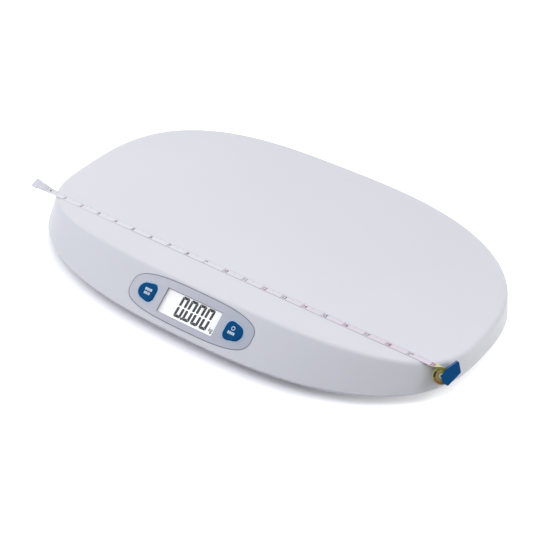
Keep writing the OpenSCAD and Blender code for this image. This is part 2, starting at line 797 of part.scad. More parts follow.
module foot(corner) {
    disc_top = underside_h - disc_gap;
    color(white) at_foot(corner) {
        translate([0, 0, pad_t]) cylinder(d1 = foot_d - 1, d2 = foot_d, h = 1);
        translate([0, 0, pad_t + 1]) cylinder(d = foot_d, h = disc_top - pad_t - 1);
        translate([0, 0, pad_t]) cylinder(d = stem_d, h = cell_bottom - pad_t);
        translate([0, 0, pad_t]) cylinder(d = cell_pin_d, h = cell_bottom + cell_t - pad_t + 1);
        translate([0, 0, cell_bottom + cell_t]) cylinder(d1 = cell_pin_d + 2, d2 = cell_pin_d, h = 1.2);
    }
}

module foot_pad(corner) {
    color(black) at_foot(corner) difference() {
        cylinder(d = foot_d - 4, h = pad_t);
        translate([0, 0, -1]) cylinder(d = foot_d - 18, h = 1.6);
    }
}

module load_cell_front_left() load_cell(foot_corners[0]);
module load_cell_front_right() load_cell(foot_corners[1]);
module load_cell_rear_left() load_cell(foot_corners[2]);
module load_cell_rear_right() load_cell(foot_corners[3]);
module cell_seat_front_left() cell_seat(foot_corners[0]);
module cell_seat_front_right() cell_seat(foot_corners[1]);
module cell_seat_rear_left() cell_seat(foot_corners[2]);
module cell_seat_rear_right() cell_seat(foot_corners[3]);
module foot_front_left() foot(foot_corners[0]);
module foot_front_right() foot(foot_corners[1]);
module foot_rear_left() foot(foot_corners[2]);
module foot_rear_right() foot(foot_corners[3]);
module foot_pad_front_left() foot_pad(foot_corners[0]);
module foot_pad_front_right() foot_pad(foot_corners[1]);
module foot_pad_rear_left() foot_pad(foot_corners[2]);
module foot_pad_rear_right() foot_pad(foot_corners[3]);

// ---------------------------------------------------------------- cables

socket_face = board_top - board_t - socket_size[2] + 0.3;

// Each cable runs on the floor from its load cell's seat and rises to its socket
module cell_cables() {
    start = foot_x - seat_side / 2 - fit_gap;
    front = -foot_y + cable_out;
    rear = foot_y - cable_out;
    color([0.8, 0.8, 0.82]) for (s = [-1, 1]) {
        wire([[s * start, front, cable_z], [s * cable_turn, front, cable_z], [s * rise_x[1], rise_y, cable_z],
              from_apron([s * socket_us[3], socket_v, socket_face - rise_drop]),
              from_apron([s * socket_us[3], socket_v, socket_face])],
             cable_d, [0, 0, 1]);
        wire([[s * start, rear, cable_z], [s * cable_turn, rear, cable_z],
              [s * rear_turn, rear - rear_step, cable_z], [s * rear_turn, rise_y + 1.6 * rear_step, cable_z],
              [s * rise_x[0], rise_y + 4, cable_z],
              from_apron([s * socket_us[2], socket_v, socket_face - rise_drop]),
              from_apron([s * socket_us[2], socket_v, socket_face])],
             cable_d, [0, 0, 1]);
    }
}

module battery_cable() {
    exit = bay_half_len + bay_wall + 0.2;
    lane = exit + wire_out[1];
    color([0.7, 0.1, 0.1]) for (s = [-wire_gap, wire_gap])
        wire([[exit, bay_y + s, wire_z], [exit + wire_out[0], bay_y + s, wire_z],
              [lane + s, bay_y - wire_out[1], wire_z], [lane + s, rise_y + wire_out[0], wire_z],
              from_apron([socket_us[4] + s, socket_v, socket_face - rise_drop]),
              from_apron([socket_us[4] + s, socket_v, socket_face])], wire_d, [0, 0, 1]);
}

// ---------------------------------------------------------------- battery bay

module batteries() {
    color([0.25, 0.27, 0.3]) for (i = [0:battery_count - 1])
        translate([0, bay_y + (i - (battery_count - 1) / 2) * battery_pitch, battery_z])
            mirror([i % 2, 0, 0]) {
                translate([-battery_len / 2, 0, 0]) rotate([0, 90, 0]) cylinder(d = battery_d, h = battery_len);
                translate([battery_len / 2, 0, 0]) rotate([0, 90, 0]) cylinder(d = nub_d, h = nub_len);
            }
}

// Flat plates for the nubs and folded leaf springs for the other ends
module battery_contacts() {
    side = battery_d - 1.5;
    room = bay_half_len - contact_t;
    reach = room - battery_len / 2 - 0.3;
    color(steel) for (i = [0:battery_count - 1])
        translate([0, bay_y + (i - (battery_count - 1) / 2) * battery_pitch, battery_z])
            mirror([i % 2, 0, 0]) {
                translate([room, -side / 2, -side / 2]) cube([contact_t, side, side]);
                translate([room - reach + nub_len, 0, 0]) rotate([0, 90, 0])
                    cylinder(d = nub_d, h = reach - nub_len + eps, $fn = 32);
                translate([-bay_half_len, -side / 2, -side / 2]) cube([contact_t, side, side]);
                rotate([90, 0, 0]) translate([0, 0, -side / 3]) linear_extrude(side / 1.5)
                    polygon([[-room, -side / 2], [-room + reach, side / 5], [-room + 0.3, side / 2 - 0.4],
                             [-room, side / 2 - 0.8], [-room + reach - 0.6, side / 5], [-room - eps, -side / 2 + 0.8]]);
            }
}

module battery_door() {
    color(white) difference() {
        union() {
            translate([-door_half_len, door_front, underside_h])
                cube([2 * door_half_len, door_back - door_front, door_t]);
            translate([-barrel_half, door_back - 1, underside_h]) cube([2 * barrel_half, hinge_set + 1, door_t]);
            translate([-barrel_half, hinge_y, hinge_z]) rotate([0, 90, 0])
                cylinder(r = barrel_r, h = 2 * barrel_half, $fn = 48);
            translate([-tab_half, door_front - tab_len, underside_h]) cube([2 * tab_half, tab_len + 1, door_t - 0.4]);
        }
        for (s = [-1, 1]) translate([s > 0 ? barrel_half - hinge_pin_len - 0.2 : -barrel_half - 1, hinge_y, hinge_z])
            rotate([0, 90, 0]) cylinder(d = hinge_pin_d + 2 * run_gap, h = hinge_pin_len + 1.2, $fn = 32);
        // grip grooves
        for (i = [0:3]) translate([-10, door_front + 4 + 2.4 * i, underside_h - 1]) cube([20, 1.2, 1.5]);
    }
}

// ---------------------------------------------------------------- tape measure

// A thin twisting strip through rings of four points, both of its sides split the same way
module ribbon(rings) {
    m = len(rings);
    points = [for (ring = rings) each ring];
    sides = [for (j = [0:m - 2], i = [0:3]) let (a = 4 * j + i, b = 4 * j + (i + 1) % 4)
        each i < 3 ? [[a, a + 4, b + 4], [a, b + 4, b]] : [[a, a + 4, b], [a + 4, b + 4, b]]];
    polyhedron(points, concat(sides, [[0, 1, 2, 3]], [[for (i = [3:-1:0]) 4 * (m - 1) + i]]));
}

// The free end's route and the way its width points, from the tip to where it lies flat
tape_tip = [for (q = tape_free) [tape_start + q[0], -tape_y, tape_z + q[1]]];
tip_widths = [for (q = tape_free) [0, cos(q[2]), sin(q[2])]];

// The free tape: past the left rim, straight along the tray, over the right rim to the roll
module tape_blade() {
    across = [0, cos(tape_tilt), -sin(tape_tilt)];
    route = concat(tape_tip, [[tape_start + tape_rest, -tape_y, tape_z]], tape_route,
                   [roll_top, roll_top + 1.5 * case_u]);
    widths = concat(tip_widths, [across, across],
                    [for (i = [1:len(tape_route) - 1]) tape_width_dir[i]], [-case_n, -case_n]);
    n = len(route);
    rings = [for (i = [0:n - 1])
        let (along = unit(route[min(i + 1, n - 1)] - route[max(i - 1, 0)]),
             w = unit(widths[i] - (widths[i] * along) * along) * tape_w / 2,
             h = unit(cross(along, w)) * tape_t / 2)
        [route[i] - w - h, route[i] - w + h, route[i] + w + h, route[i] + w - h]];
    color([0.93, 0.9, 0.92]) ribbon(rings);
}

// A thick T-shaped tab with a flat sleeve that grips the tape's tip
module tape_end_tab() {
    along = unit(tape_tip[1] - tape_tip[0]);
    side = unit(tip_widths[0] - (tip_widths[0] * along) * along);
    out = cross(along, side);
    o = tape_tip[0];
    half_head = [tab_head[0] / 2 - tab_corner_r, tab_head[1] / 2 - tab_corner_r];
    color([0.88, 0.88, 0.92])
        multmatrix([for (k = [0:2]) [along[k], side[k], out[k], o[k]]]) difference() {
            union() {
                hull() for (x = [-1, 1], y = [-1, 1])
                    translate([x * half_head[0] - tab_head[0] / 2 - 1, y * half_head[1], -tab_head[2] / 2])
                        cylinder(r = tab_corner_r, h = tab_head[2], $fn = 24);
                translate([-2, -tape_w / 2 - tab_side, -tab_sleeve_t / 2])
                    cube([tab_grip + 2, tape_w + 2 * tab_side, tab_sleeve_t]);
            }
            translate([0, -tape_w / 2, -tape_t / 2]) cube([tab_grip + 1, tape_w, tape_t]);
        }
}

module at_spool() {
    on_case() translate([spool_at[0], spool_at[1], case_off + case_depth / 2]) children();
}

module tape_roll() {
    color([0.72, 0.72, 0.3]) at_spool() difference() {
        translate([0, 0, -tape_w / 2]) cylinder(r = roll_r, h = tape_w);
        translate([0, 0, -tape_w]) cylinder(d = hub_d, h = 2 * tape_w);
    }
}

module tape_spool() {
    color([0.9, 0.9, 0.6]) at_spool() difference() {
        translate([0, 0, -tape_w / 2 - 0.3]) cylinder(d = hub_d, h = tape_w + 0.6);
        translate([0, 0, -tape_w]) cylinder(d = spool_pin_d + 2 * run_gap, h = 2 * tape_w);
    }
}

module case_shape() {
    hull() for (p = case_outline) translate(p) circle(r = case_wall, $fn = 32);
}

// One half of the case: a plate, and half of the wall round its closed right side
module case_half() {
    linear_extrude(plate_t) case_shape();
    difference() {
        linear_extrude(case_depth / 2) case_shape();
        translate([0, 0, -1]) linear_extrude(case_depth) polygon(case_outline);
        translate([spool_at[0], spool_at[1], plate_t]) cylinder(r = roll_r + 0.8, h = case_depth);
        translate([-20, -20, plate_t]) cube([28, 60, case_depth]);
    }
}

// The back half reaches further round the spool and carries its pin
module tape_case_back() {
    color(button_blue) on_case() translate([0, 0, case_off]) {
        case_half();
        translate([spool_at[0], spool_at[1], 0]) cylinder(d = hub_d + 2, h = plate_t);
        translate([spool_at[0], spool_at[1], 0]) cylinder(d = spool_pin_d, h = case_depth - plate_t, $fn = 32);
    }
}

module tape_case_front() {
    color(button_blue) on_case() translate([0, 0, case_off + case_depth]) mirror([0, 0, 1]) case_half();
}

// ---------------------------------------------------------------- what is drawn

top_housing();
base_housing();
console_panel();
display_lens();
lcd_panel();
light_guide();
display_holder();
zebra_strips();
main_board();
board_components();
board_sockets();
board_screws();
left_button();
right_button();
left_plunger();
right_plunger();
left_switch();
right_switch();
load_cell_front_left();
load_cell_front_right();
load_cell_rear_left();
load_cell_rear_right();
cell_seat_front_left();
cell_seat_front_right();
cell_seat_rear_left();
cell_seat_rear_right();
foot_front_left();
foot_front_right();
foot_rear_left();
foot_rear_right();
foot_pad_front_left();
foot_pad_front_right();
foot_pad_rear_left();
foot_pad_rear_right();
seat_screws();
cell_cables();
battery_cable();
batteries();
battery_contacts();
battery_door();
housing_screws();
tape_blade();
tape_end_tab();
tape_roll();
tape_spool();
tape_case_front();
tape_case_back();
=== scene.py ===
import math

import bmesh
import bpy
from mathutils import Matrix, Vector


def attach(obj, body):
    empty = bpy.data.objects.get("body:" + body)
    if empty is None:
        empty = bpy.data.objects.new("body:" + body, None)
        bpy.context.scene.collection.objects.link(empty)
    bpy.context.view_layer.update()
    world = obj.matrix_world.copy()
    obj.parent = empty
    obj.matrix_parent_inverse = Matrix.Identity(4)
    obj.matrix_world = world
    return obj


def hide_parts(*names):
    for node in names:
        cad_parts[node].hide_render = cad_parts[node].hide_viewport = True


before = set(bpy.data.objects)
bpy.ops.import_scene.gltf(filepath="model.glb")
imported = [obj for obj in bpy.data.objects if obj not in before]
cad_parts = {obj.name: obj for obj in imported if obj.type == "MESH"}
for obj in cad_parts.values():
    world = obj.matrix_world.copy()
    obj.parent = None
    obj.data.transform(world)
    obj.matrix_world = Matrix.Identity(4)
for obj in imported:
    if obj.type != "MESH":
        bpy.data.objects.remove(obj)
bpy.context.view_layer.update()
MM = 0.001

# ------------------------------------------------------------------ viewpoint and room
# The scale is seen from its front right, from about 1.6 m away and 37 degrees up, with a
# long lens. It stands on a plain pale floor in soft studio light.

TURN, RISE = math.radians(36.2), math.radians(37.33)
LENS, SENSOR, DISTANCE = 93.79, 36.0, 1.56175
AIM = Vector((6.55, 1.95, 0.0)) * MM

away = Vector((math.sin(TURN) * math.cos(RISE), -math.cos(TURN) * math.cos(RISE), math.sin(RISE)))
lens = bpy.data.cameras.new("camera")
lens.lens, lens.sensor_width = LENS, SENSOR
lens.clip_start, lens.clip_end = 0.05, 50.0
eye = bpy.data.objects.new("camera", lens)
eye.location = AIM + DISTANCE * away
eye.rotation_euler = away.to_track_quat("Z", "Y").to_euler()
bpy.context.scene.collection.objects.link(eye)
bpy.context.scene.camera = eye
bpy.context.scene.view_settings.view_transform = "Standard"


class Socket:
    """A socket of a finish, so that shader maths reads as an expression."""

    def __init__(self, finish, socket):
        self.finish, self.socket = finish, socket

    def maths(self, operation, a, b):
        return self.finish.node("ShaderNodeMath", {"operation": operation}, a, b)

    def __add__(self, other):
        return self.maths("ADD", self, other)

    def __radd__(self, other):
        return self.maths("ADD", other, self)

    def __sub__(self, other):
        return self.maths("SUBTRACT", self, other)

    def __rsub__(self, other):
        return self.maths("SUBTRACT", other, self)

    def __mul__(self, other):
        return self.maths("MULTIPLY", self, other)

    def __rmul__(self, other):
        return self.maths("MULTIPLY", other, self)

    def __truediv__(self, other):
        return self.maths("DIVIDE", self, other)

    def __gt__(self, other):
        return self.maths("GREATER_THAN", self, other)

    def __lt__(self, other):
        return self.maths("LESS_THAN", self, other)

    def __abs__(self):
        return self.maths("ABSOLUTE", self, 0.0)

    def __mod__(self, other):
        return self.maths("FLOORED_MODULO", self, other)

    def __pow__(self, other):
        return self.maths("POWER", self, other)


class Finish:
    """A material built round one Principled shader, whose constants are given by name."""

    def __init__(self, name, **constants):
        self.material = bpy.data.materials.new(name)
        self.material.use_nodes = True
        self.tree = self.material.node_tree
        self.shader = self.tree.nodes["Principled BSDF"]
        for key, value in constants.items():
            self.shader.inputs[key.replace("_", " ")].default_value = value

    def node(self, kind, settings, *values, out=0, **named):
        made = self.tree.nodes.new(kind)
        for key, value in settings.items():
            setattr(made, key, value)
        for key, value in [*enumerate(values), *named.items()]:
            self.feed(made.inputs[key.replace("_", " ") if isinstance(key, str) else key], value)
        return Socket(self, made.outputs[out])

    def feed(self, socket, value):
        if isinstance(value, Socket):
            self.tree.links.new(value.socket, socket)
        else:
            socket.default_value = value

    def place(self, axis=None):
        """Object coordinates in metres, or one of them."""
        spot = self.node("ShaderNodeTexCoord", {}, out=3)
        return spot if axis is None else self.node("ShaderNodeSeparateXYZ", {}, spot, out="XYZ".index(axis))

    def noise(self, scale, detail=2.0, stretch=None):
        spot = self.place()
        if stretch:
            spot = self.node("ShaderNodeMapping", {}, spot, Scale=stretch)
        return self.node("ShaderNodeTexNoise", {}, spot, Scale=scale, Detail=detail)

    def ramp(self, value, low, high, start, end):
        """Maps low..high smoothly onto start..end."""
        smooth = {"interpolation_type": "SMOOTHSTEP"}
        return self.node("ShaderNodeMapRange", smooth, value, low, high, start, end)

    def mix(self, share, a, b):
        """Mixes two colours."""
        made = self.tree.nodes.new("ShaderNodeMix")
        made.data_type = "RGBA"
        for socket, value in ((0, share), (6, a), (7, b)):
            if not isinstance(value, Socket) and socket:
                value = (*value[:3], 1.0)
            self.feed(made.inputs[socket], value)
        return Socket(self, made.outputs[2])

    def along(self, direction, origin):
        """Distance from a point along a direction, both in metres."""
        kind = "ShaderNodeVectorMath"
        offset = self.node(kind, {"operation": "SUBTRACT"}, self.place(), tuple(origin))
        return self.node(kind, {"operation": "DOT_PRODUCT"}, offset, tuple(direction), out=1)

    def mottled(self, scale, detail, low, high, a, b, most=1.0):
        """Two colours mixed in the patches of a noise."""
        return self.mix(self.ramp(self.noise(scale, detail), low, high, 0.0, most), a, b)

    def uneven(self, scale, detail, low, high, least, most):
        """Roughness that wanders with a noise."""
        self.set("Roughness", self.ramp(self.noise(scale, detail), low, high, least, most))

    def bump(self, height, distance, strength=1.0):
        made = self.node("ShaderNodeBump", {}, Strength=strength, Distance=distance, Height=height)
        self.set("Normal", made)

    def set(self, key, value):
        self.feed(self.shader.inputs[key], value)


# Camera, glossy and transmission rays see painted light on the floor: an emission that fades to painted
# shadow near the object and grows stronger at its right, where it paints out the object's shadow
FLOOR_COLOUR = (0.93, 0.93, 0.93, 1.0)
FLOOR_SIZE, FLOOR_FILL, NEAR = 6.0, 0.42, 0.035
floor_finish = Finish("floor_paper", Roughness=0.9, Base_Color=FLOOR_COLOUR, Emission_Strength=FLOOR_FILL)
path = floor_finish.tree.nodes.new("ShaderNodeLightPath")
seen = sum((Socket(floor_finish, path.outputs[n]) for n in ("Is Glossy Ray", "Is Transmission Ray")),
           Socket(floor_finish, path.outputs["Is Camera Ray"]))
open_sky = floor_finish.node("ShaderNodeAmbientOcclusion", {"samples": 16}, Distance=NEAR, out=1)
painted_floor_light = floor_finish.ramp(open_sky, 0.35, 0.85, 0.2, 1.0)
painted_floor_light = painted_floor_light + floor_finish.ramp(floor_finish.place("X"), 0.12, 0.26, 0.0, 0.8)
floor_finish.set("Emission Color", floor_finish.mix(seen > 0.5, (0, 0, 0), painted_floor_light))
from_below = floor_finish.node("ShaderNodeNewGeometry", {}, out=6)
floor_finish.set("Alpha", 1.0 - from_below)

bm = bmesh.new()
bmesh.ops.create_grid(bm, x_segments=2, y_segments=2, size=FLOOR_SIZE)
mesh = bpy.data.meshes.new("floor")
bm.to_mesh(mesh)
bm.free()
floor = bpy.data.objects.new("floor", mesh)
floor.data.materials.append(floor_finish.material)
bpy.context.scene.collection.objects.link(floor)

world = bpy.data.worlds.new("studio")
bpy.context.scene.world = world
world.use_nodes = True
tree = world.node_tree
tree.nodes.clear()
SKY_LIGHT = (0.90, 0.93, 1.0, 1.0)
SKY_STRENGTH = 0.02
backs = []
for colour, strength in ((SKY_LIGHT, SKY_STRENGTH), ((1, 1, 1, 1), 1.0)):
    back = tree.nodes.new("ShaderNodeBackground")
    back.inputs[0].default_value, back.inputs[1].default_value = colour, strength
    backs.append(back)
path = tree.nodes.new("ShaderNodeLightPath")
total = path.outputs["Is Camera Ray"]
for name in ("Is Glossy Ray", "Is Transmission Ray"):
    add = tree.nodes.new("ShaderNodeMath")
    add.operation, add.use_clamp = "ADD", True
    tree.links.new(total, add.inputs[0])
    tree.links.new(path.outputs[name], add.inputs[1])
    total = add.outputs[0]
blend = tree.nodes.new("ShaderNodeMixShader")
tree.links.new(total, blend.inputs[0])
tree.links.new(backs[0].outputs[0], blend.inputs[1])
tree.links.new(backs[1].outputs[0], blend.inputs[2])
tree.links.new(blend.outputs[0], tree.nodes.new("ShaderNodeOutputWorld").inputs[0])

# name, place, aim, size, watts, colour
LAMPS = [
    ("back_right", (1.3, 0.9, 1.4), (0.0, 0.0, 0.02), 1.3, 13.5, (1.0, 1.0, 1.0)),
    ("left", (-1.8, -0.1, 1.1), (0.0, 0.0, 0.02), 1.5, 13.0, (1.0, 1.0, 1.0)),
    ("far_back", (0.3, 2.6, 2.0), (0.0, 0.0, 0.02), 2.4, 19.5, (1.0, 1.0, 1.0)),
    ("far_right", (2.6, 0.2, 1.9), (0.0, 0.0, 0.02), 2.4, 19.5, (1.0, 1.0, 1.0)),
    ("over_front", (0.0, -0.7, 2.0), (0.0, 0.0, 0.02), 1.2, 8.3, (0.93, 0.97, 1.12)),
    ("far_back_left", (-1.9, 1.9, 1.9), (0.0, 0.0, 0.02), 2.4, 15.0, (1.0, 1.0, 1.0)),
    ("far_front_left", (-2.0, -1.7, 1.9), (0.0, 0.0, 0.02), 2.4, 36.0, (0.97, 0.99, 1.06)),
]
for name, place, aim, size, watts, colour in LAMPS:
    lamp = bpy.data.lights.new(name, "AREA")
    lamp.shape, lamp.size, lamp.energy, lamp.color = "DISK", size, watts, colour
    thing = bpy.data.objects.new(name, lamp)
    thing.location = place
    thing.rotation_euler = (Vector(place) - Vector(aim)).to_track_quat("Z", "Y").to_euler()
    bpy.context.scene.collection.objects.link(thing)

# ------------------------------------------------------------------ base housing
# The lower half of the body: a shallow oval dish of satin white ABS, injection moulded in
# one piece, with screw recesses, feet openings and the walls of the battery bay.

WHITE = (0.745, 0.745, 0.778)
BASE_WHITE = (0.70, 0.70, 0.76)


def toned(colour, share):
    return tuple(c * share for c in colour)


def moulded(name, colour, rough=0.33, low_darkening=0.0, **more):
    """Injection-moulded plastic: fine spark-eroded grain, faint flow marks and handling."""
    f = Finish(name, **{"Roughness": rough, **more})
    tone = f.mottled(5.0, 1.5, 0.2, 0.8, toned(colour, 0.975), colour)
    # Optionally, the colour darkens in patches towards the bottom, below about 16 mm.
    if low_darkening:
        low = f.ramp(f.place("Z"), 0.006, 0.016, low_darkening, 0.0) * f.ramp(f.noise(60.0, 4.0), 0.4, 0.7, 0.2, 1.0)
        tone = f.mix(low, tone, toned(colour, 0.72))
    f.set("Base Color", tone)
    f.uneven(14.0, 2.0, 0.15, 0.85, rough - 0.03, rough + 0.05)
    f.bump(f.noise(1800.0, 2.0), 0.000144, 0.35)
    return f.material


def smoothed(piece, sharp):
    """Shades a piece smooth, but for edges over an angle in degrees."""
    piece.data.polygons.foreach_set("use_smooth", [True] * len(piece.data.polygons))
    piece.data.set_sharp_from_angle(angle=math.radians(sharp))
    return piece


def placed(bm, name, material, body, replaces=(), sharp=32.0):
    """Makes a finished piece of a bmesh whose place is already in its vertices."""
    bmesh.ops.recalc_face_normals(bm, faces=bm.faces)
    mesh = bpy.data.meshes.new(name)
    bm.to_mesh(mesh)
    bm.free()
    mesh.materials.append(material)
    piece = smoothed(bpy.data.objects.new(name, mesh), sharp)
    bpy.context.scene.collection.objects.link(piece)
    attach(piece, body)
    if replaces:
        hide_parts(*([replaces] if isinstance(replaces, str) else replaces))
    return piece


def eased(piece, width, angle=30.0, segments=2):
    """Gives a piece's corners the small radius that a mould or a cutter leaves."""
    bevel = piece.modifiers.new("corners", "BEVEL")
    bevel.width, bevel.segments, bevel.limit_method = width, segments, "ANGLE"
    bevel.angle_limit, bevel.profile, bevel.use_clamp_overlap = math.radians(angle), 0.5, True
    weigh = piece.modifiers.new("normals", "WEIGHTED_NORMAL")
    weigh.keep_sharp, weigh.weight = True, 80
    return piece


def dressed(node, name, material, width, body="scale_body", sharp=32.0):
    """A copy of a CAD node with merged corners and eased edges, shown in its place."""
    bm = bmesh.new()
    bm.from_mesh(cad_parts[node].data)
    bmesh.ops.remove_doubles(bm, verts=bm.verts, dist=2e-6)
    bmesh.ops.dissolve_limit(bm, angle_limit=0.004, verts=bm.verts, edges=bm.edges)
    piece = placed(bm, name, material, body, node, sharp)
    return eased(piece, width) if width else piece


base_plastic = moulded("base_plastic", BASE_WHITE, 0.36, low_darkening=0.35)
dressed("base_housing", "base_shell", base_plastic, 0.00025)

# ------------------------------------------------------------------ feet and rubber pads
# Four round white feet hang on the load cells by their stems. Each has a black rubber pad
# glued into its underside, with turned grip rings and a hollow middle.

FOOT_X, FOOT_Y, FOOT_R = 0.175, 0.085, 0.017
PAD_R, PAD_T, PAD_HOLLOW = 0.015, 0.002, 0.008
FOOT_TOP, STEM_R, STEM_TOP = 0.0062, 0.005, 0.0126
CORNERS = {"front_left": (-1, -1), "front_right": (1, -1), "rear_left": (-1, 1), "rear_right": (1, 1)}


def spun(points, steps, place=(0, 0, 0)):
    """Turns a profile of (radius, height) round the Z axis into a closed body."""
    bm = bmesh.new()
    chain = [bm.verts.new((r, 0.0, z)) for r, z in points]
    for a, b in zip(chain, chain[1:]):
        bm.edges.new((a, b))
    bmesh.ops.spin(bm, geom=bm.verts[:] + bm.edges[:], cent=(0, 0, 0), axis=(0, 0, 1), dvec=(0, 0, 0),
                   angle=math.tau, steps=steps, use_merge=True, use_normal_flip=False, use_duplicate=False)
    bmesh.ops.remove_doubles(bm, verts=bm.verts, dist=1e-7)
    bmesh.ops.translate(bm, vec=place, verts=bm.verts)
    return bm


def rubber(name, colour, rough=0.72):
    """Soft moulded rubber, dull, with a dusty bloom and a fine leathery skin."""
    f = Finish(name, Roughness=rough, Specular_IOR_Level=0.35)
    bloom = f.ramp(f.noise(160.0, 5.0), 0.42, 0.75, 0.0, 0.55)
    f.set("Base Color", f.mix(bloom, colour, tuple(0.06 + c * 1.6 for c in colour)))
    f.uneven(420.0, 3.0, 0.3, 0.7, rough - 0.1, rough + 0.12)
    f.bump(f.noise(1500.0, 3.0), 0.00012, 0.4)
    return f.material


foot_plastic = moulded("foot_plastic", (0.72, 0.73, 0.76), 0.42)
pad_rubber = rubber("pad_rubber", (0.022, 0.022, 0.024))
FOOT_PROFILE = [(0, PAD_T), (PAD_R + 0.0002, PAD_T), (FOOT_R - 0.0006, PAD_T),
                (FOOT_R - 0.0001, PAD_T + 0.0005), (FOOT_R, PAD_T + 0.0012),
                (FOOT_R, FOOT_TOP - 0.0006), (FOOT_R - 0.0002, FOOT_TOP - 0.0002),
                (FOOT_R - 0.0007, FOOT_TOP), (STEM_R + 0.001, FOOT_TOP), (STEM_R, FOOT_TOP + 0.001),
                (STEM_R, STEM_TOP), (0.002, STEM_TOP), (0.002, STEM_TOP + 0.0014), (0.003, STEM_TOP + 0.0015),
                (0.002, STEM_TOP + 0.0027), (0, STEM_TOP + 0.0028)]
PAD_PROFILE = [(0, PAD_T), (0, 0.0016), (PAD_HOLLOW - 0.0004, 0.0016), (PAD_HOLLOW, 0.0012),
               (PAD_HOLLOW, 0.0004), (PAD_HOLLOW + 0.0004, 0.0)]
for ring in range(3):
    at = PAD_HOLLOW + 0.0014 + ring * 0.0018
    PAD_PROFILE += [(at, 0.0), (at + 0.0002, 0.0006), (at + 0.0006, 0.0006), (at + 0.0008, 0.0)]
PAD_PROFILE += [(PAD_R - 0.0005, 0.0), (PAD_R, 0.0005), (PAD_R, PAD_T), (0, PAD_T)]
for corner, (sx, sy) in CORNERS.items():
    spot = (sx * FOOT_X, sy * FOOT_Y, 0)
    placed(spun(FOOT_PROFILE, 72, spot), "weighing_foot_" + corner, foot_plastic, "scale_body",
           "foot_" + corner)
    placed(spun(PAD_PROFILE, 72, spot), "rubber_pad_" + corner, pad_rubber, "scale_body",
           "foot_pad_" + corner)

# ------------------------------------------------------------------ load cells, seats, screws
# A strain-gauge plate of nickel-plated spring steel sits over each foot in a moulded seat,
# and two small screws hold each seat to the floor of the base.


def metal(name, colour, rough, along=(1.0, 1.0, 1.0), tarnish=0.25):
    """Plated or rolled steel with fine drawn lines and slight tarnish."""
    f = Finish(name, Metallic=1.0, Roughness=rough)
    stain = f.ramp(f.noise(90.0, 4.0), 0.45, 0.75, 0.0, tarnish)
    f.set("Base Color", f.mix(stain, colour, toned(colour, 0.6)))
    lines = f.noise(1400.0, 2.0, along)
    f.set("Roughness", f.ramp(lines, 0.3, 0.7, rough - 0.08, rough + 0.1))
    f.bump(lines, 0.00003, 0.25)
    return f.material


def wear(nodes, material):
    """Puts a finish on CAD nodes that keep their own shape."""
    for node in nodes:
        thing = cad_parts[node]
        thing.data.materials.clear()
        thing.data.materials.append(material)


cell_steel = metal("cell_steel", (0.60, 0.61, 0.62), 0.34, (1.0, 14.0, 1.0))
screw_steel = metal("screw_steel", (0.58, 0.60, 0.62), 0.30)
seat_plastic = moulded("seat_plastic", (0.66, 0.66, 0.64), 0.45)
wear(["load_cell_" + c for c in CORNERS], cell_steel)
wear(["cell_seat_" + c for c in CORNERS], seat_plastic)
wear(["seat_screws", "board_screws"], screw_steel)

# ------------------------------------------------------------------ cables
# Grey PVC cables run from the load cells to the board, and a red pair from the battery bay.


def sleeve(name, colour):
    """Extruded PVC insulation, slightly glossy, with a fine pull texture."""
    f = Finish(name, Roughness=0.4)
    f.set("Base Color", f.mottled(220.0, 3.0, 0.4, 0.7, colour, toned(colour, 0.8)))
    f.uneven(700.0, 2.0, 0.3, 0.7, 0.32, 0.5)
    f.bump(f.noise(2600.0, 2.0), 0.00004, 0.3)
    return f.material


wear(["cell_cables"], sleeve("cable_sleeve", (0.42, 0.43, 0.45)))
wear(["battery_cable"], sleeve("wire_sleeve", (0.45, 0.02, 0.02)))

# ------------------------------------------------------------------ batteries and contacts
# Four AAA cells lie side by side under the door, head to tail, in steel cans with printed
# sleeves, between plated spring contacts.

CELL_R, CELL_LEN, NUB_R, NUB_LEN = 0.00515, 0.0437, 0.0018, 0.0008
CELL_PITCH, BAY_Y, CELL_Z, CELL_COUNT = 0.011, 0.040, 0.01445, 4


def can(name, towards):
    """A printed battery sleeve: dark body, warm band at the positive end, bare steel ends."""
    f = Finish(name, Roughness=0.28, Coat_Weight=0.4, Coat_Roughness=0.12)
    along = f.place("X") * towards
    end = abs(along) > CELL_LEN / 2 - 0.0007
    band = f.ramp(along, 0.0098, 0.0102, 0.0, 1.0)
    line = (along > 0.0080) * (along < 0.0088)
    tone = f.mix(band, (0.018, 0.020, 0.026), (0.52, 0.25, 0.07))
    tone = f.mix(line, tone, (0.62, 0.62, 0.64))
    f.set("Base Color", f.mix(end, tone, (0.62, 0.63, 0.64)))
    f.set("Metallic", f.mix(end, (0, 0, 0), (1, 1, 1)))
    f.uneven(300.0, 4.0, 0.35, 0.7, 0.22, 0.38)
    f.bump(f.noise(900.0, 2.0), 0.00004, 0.25)
    return f.material


